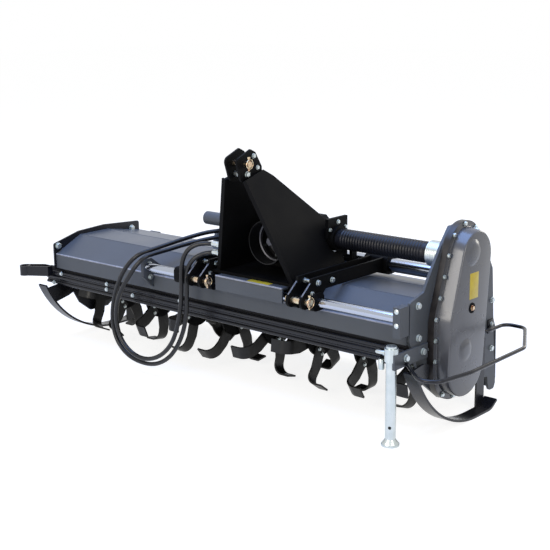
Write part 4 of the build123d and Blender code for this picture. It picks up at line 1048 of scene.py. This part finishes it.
# %% Hose ends
HOSE_R = HOSE_DIAMETER / MM / 2
CRIMPS = [(0.2, 0), (2.5, 0), (3.2, 3), (2.2, 8), (3.2, 13), (2.2, 18), (3.2, 23), (2.5, 32),
          (0.2, 32)]  # over the hose's radius, along the ferrule
FERRULE = [(HOSE_R + over, at) for over, at in CRIMPS]
NUT_OVER, HOSE_NUT_T, NUT_BACK = 4.2, 11, 12  # over the hose's radius, thick, behind its end

bm = bmesh.new()
for route in HOSE_ROUTES.values():
    for place, before in ((route[0], route[1]), (route[-1], route[-2])):
        along = (Vector(before) - Vector(place)).normalized()
        add_turned(bm, facing(place, along), FERRULE, steps=24)
        add_disc(bm, facing(Vector(place) - NUT_BACK * along, along), HOSE_R + NUT_OVER,
                 HOSE_NUT_T, sides=6)
finished(bm, "hose_ferrules", "headstock", bright_zinc)

# %% [markdown]
# ## Parking stand
# The stand is a plated tube on a flared foot, with a hole near its end for the second height. A
# spring pin locks it in its socket, and a sleeve lines the socket. The foot and the hole ride with
# the stand, and the lock stays on the frame. The hole is a thin black disc on the tube, painted
# shade for the dark inside of a bore as it looks from outside, and it leaves the imported tube
# whole.

# %% Stand foot and hole
STAND_X, STAND_Y = middle("stand", 0), middle("stand", 1)
FOOT_FLARE = [(21.3, 0), (34.5, 0), (34.0, 3), (24.5, 15), (22.0, 20), (21.3, 20)]
FLARE_Z = 8
HOLE_Z, HOLE_R, HOLE_TURN = 78, 6.5, 27  # turn in degrees, from forward to the right
HOLE_OUT, HOLE_T = 20.6, 0.9  # from the tube's middle, and how thick the dark disc is

bm = bmesh.new()
add_turned(bm, facing((STAND_X, STAND_Y, FLARE_Z), UP), FOOT_FLARE, steps=48)
finished(bm, "foot_flare", "stand", bright_zinc)

bm = bmesh.new()
hole = Vector((math.sin(math.radians(HOLE_TURN)), -math.cos(math.radians(HOLE_TURN)), 0))
place = Vector((STAND_X, STAND_Y, HOLE_Z)) + HOLE_OUT * hole
add_disc(bm, facing(place, hole), HOLE_R, HOLE_T, sides=24)
# painted shade: the black plastic finish on this disc stands for the shaded inside of the hole
finished(bm, "stand_hole", "stand", black_plastic)

# %% Socket sleeve and locking pin
SOCKET_LOW_Z, SOCKET_TOP_Z = side("spare_bracket", 2, False), side("spare_bracket", 2, True)
SLEEVE_BORE_R, SLEEVE_R = 22.2, 27.4
LOCK_PIN = [(0, 0), (10, 0), (10, 8), (8, 10), (8, 38), (6, 44), (0, 46)]  # radius, height
PIN_GRIP = [(0, 0), (11, 0), (12, 2), (12, 40), (11, 42), (0, 42)]
LOCK_X, LOCK_Z = STAND_X - 27, 368
GRIP_X, GRIP_Z = STAND_X - 46, 300

bm = bmesh.new()
sleeve = SOCKET_TOP_Z - SOCKET_LOW_Z + 2
add_turned(bm, facing((STAND_X, STAND_Y, SOCKET_LOW_Z - 1), UP),
           [(SLEEVE_BORE_R, 0), (SLEEVE_R, 0), (SLEEVE_R, sleeve), (SLEEVE_BORE_R, sleeve)],
           steps=48)
add_turned(bm, facing((LOCK_X, STAND_Y, LOCK_Z), LEFT), LOCK_PIN, steps=24, closed=False)
add_turned(bm, facing((GRIP_X, STAND_Y, GRIP_Z), UP), PIN_GRIP, steps=28, closed=False)
finished(bm, "stand_lock", "frame", bright_zinc)

bm = bmesh.new()
add_block(bm, (STAND_X - 60, STAND_Y + 9, 322), (STAND_X - 20, STAND_Y + 15, 378), 1.5)
finished(bm, "lock_plate", "frame", black_coat)

# %% [markdown]
# ## Tine bolts
# Each tine is held on its flange by two bolts. They follow the tines' helix, turned by the same
# step from flange to flange. A modifier could repeat one set, but loops say where each bolt is and
# let the two sides of a flange differ. They go on one mesh because they turn with the rotor.

# %% Tine bolts
FLANGE_PITCH = 255
FLANGES = 8
HELIX_STEP = 22
TINE_SIDES = [(1, 0), (-1, 60)]  # side of the flange, turn of its tines in degrees
TINES_A_SIDE = 3
TINE_FACE = 13  # from the flange's middle
TINE_BOLTS = [(68, 14, 8), (88, -12, 8)]  # out from the rotor's axis, across the tine, thread size
FIRST_FLANGE_X = side("right_side_plate", 0, False) - 117

bm = bmesh.new()
for i in range(FLANGES):
    for sign, offset in TINE_SIDES:
        x = FIRST_FLANGE_X - FLANGE_PITCH * i + sign * TINE_FACE
        for blade in range(TINES_A_SIDE):
            turn = math.radians(blade * 360 / TINES_A_SIDE + i * HELIX_STEP + offset)
            for radius, lean, size in TINE_BOLTS:
                y = -radius * math.sin(turn) + lean * math.cos(turn)
                z = ROTOR_Z + radius * math.cos(turn) + lean * math.sin(turn)
                add_bolt(bm, (x, y, z), (sign, 0, 0), size)
finished(bm, "tine_bolts", "rotor", bright_zinc)
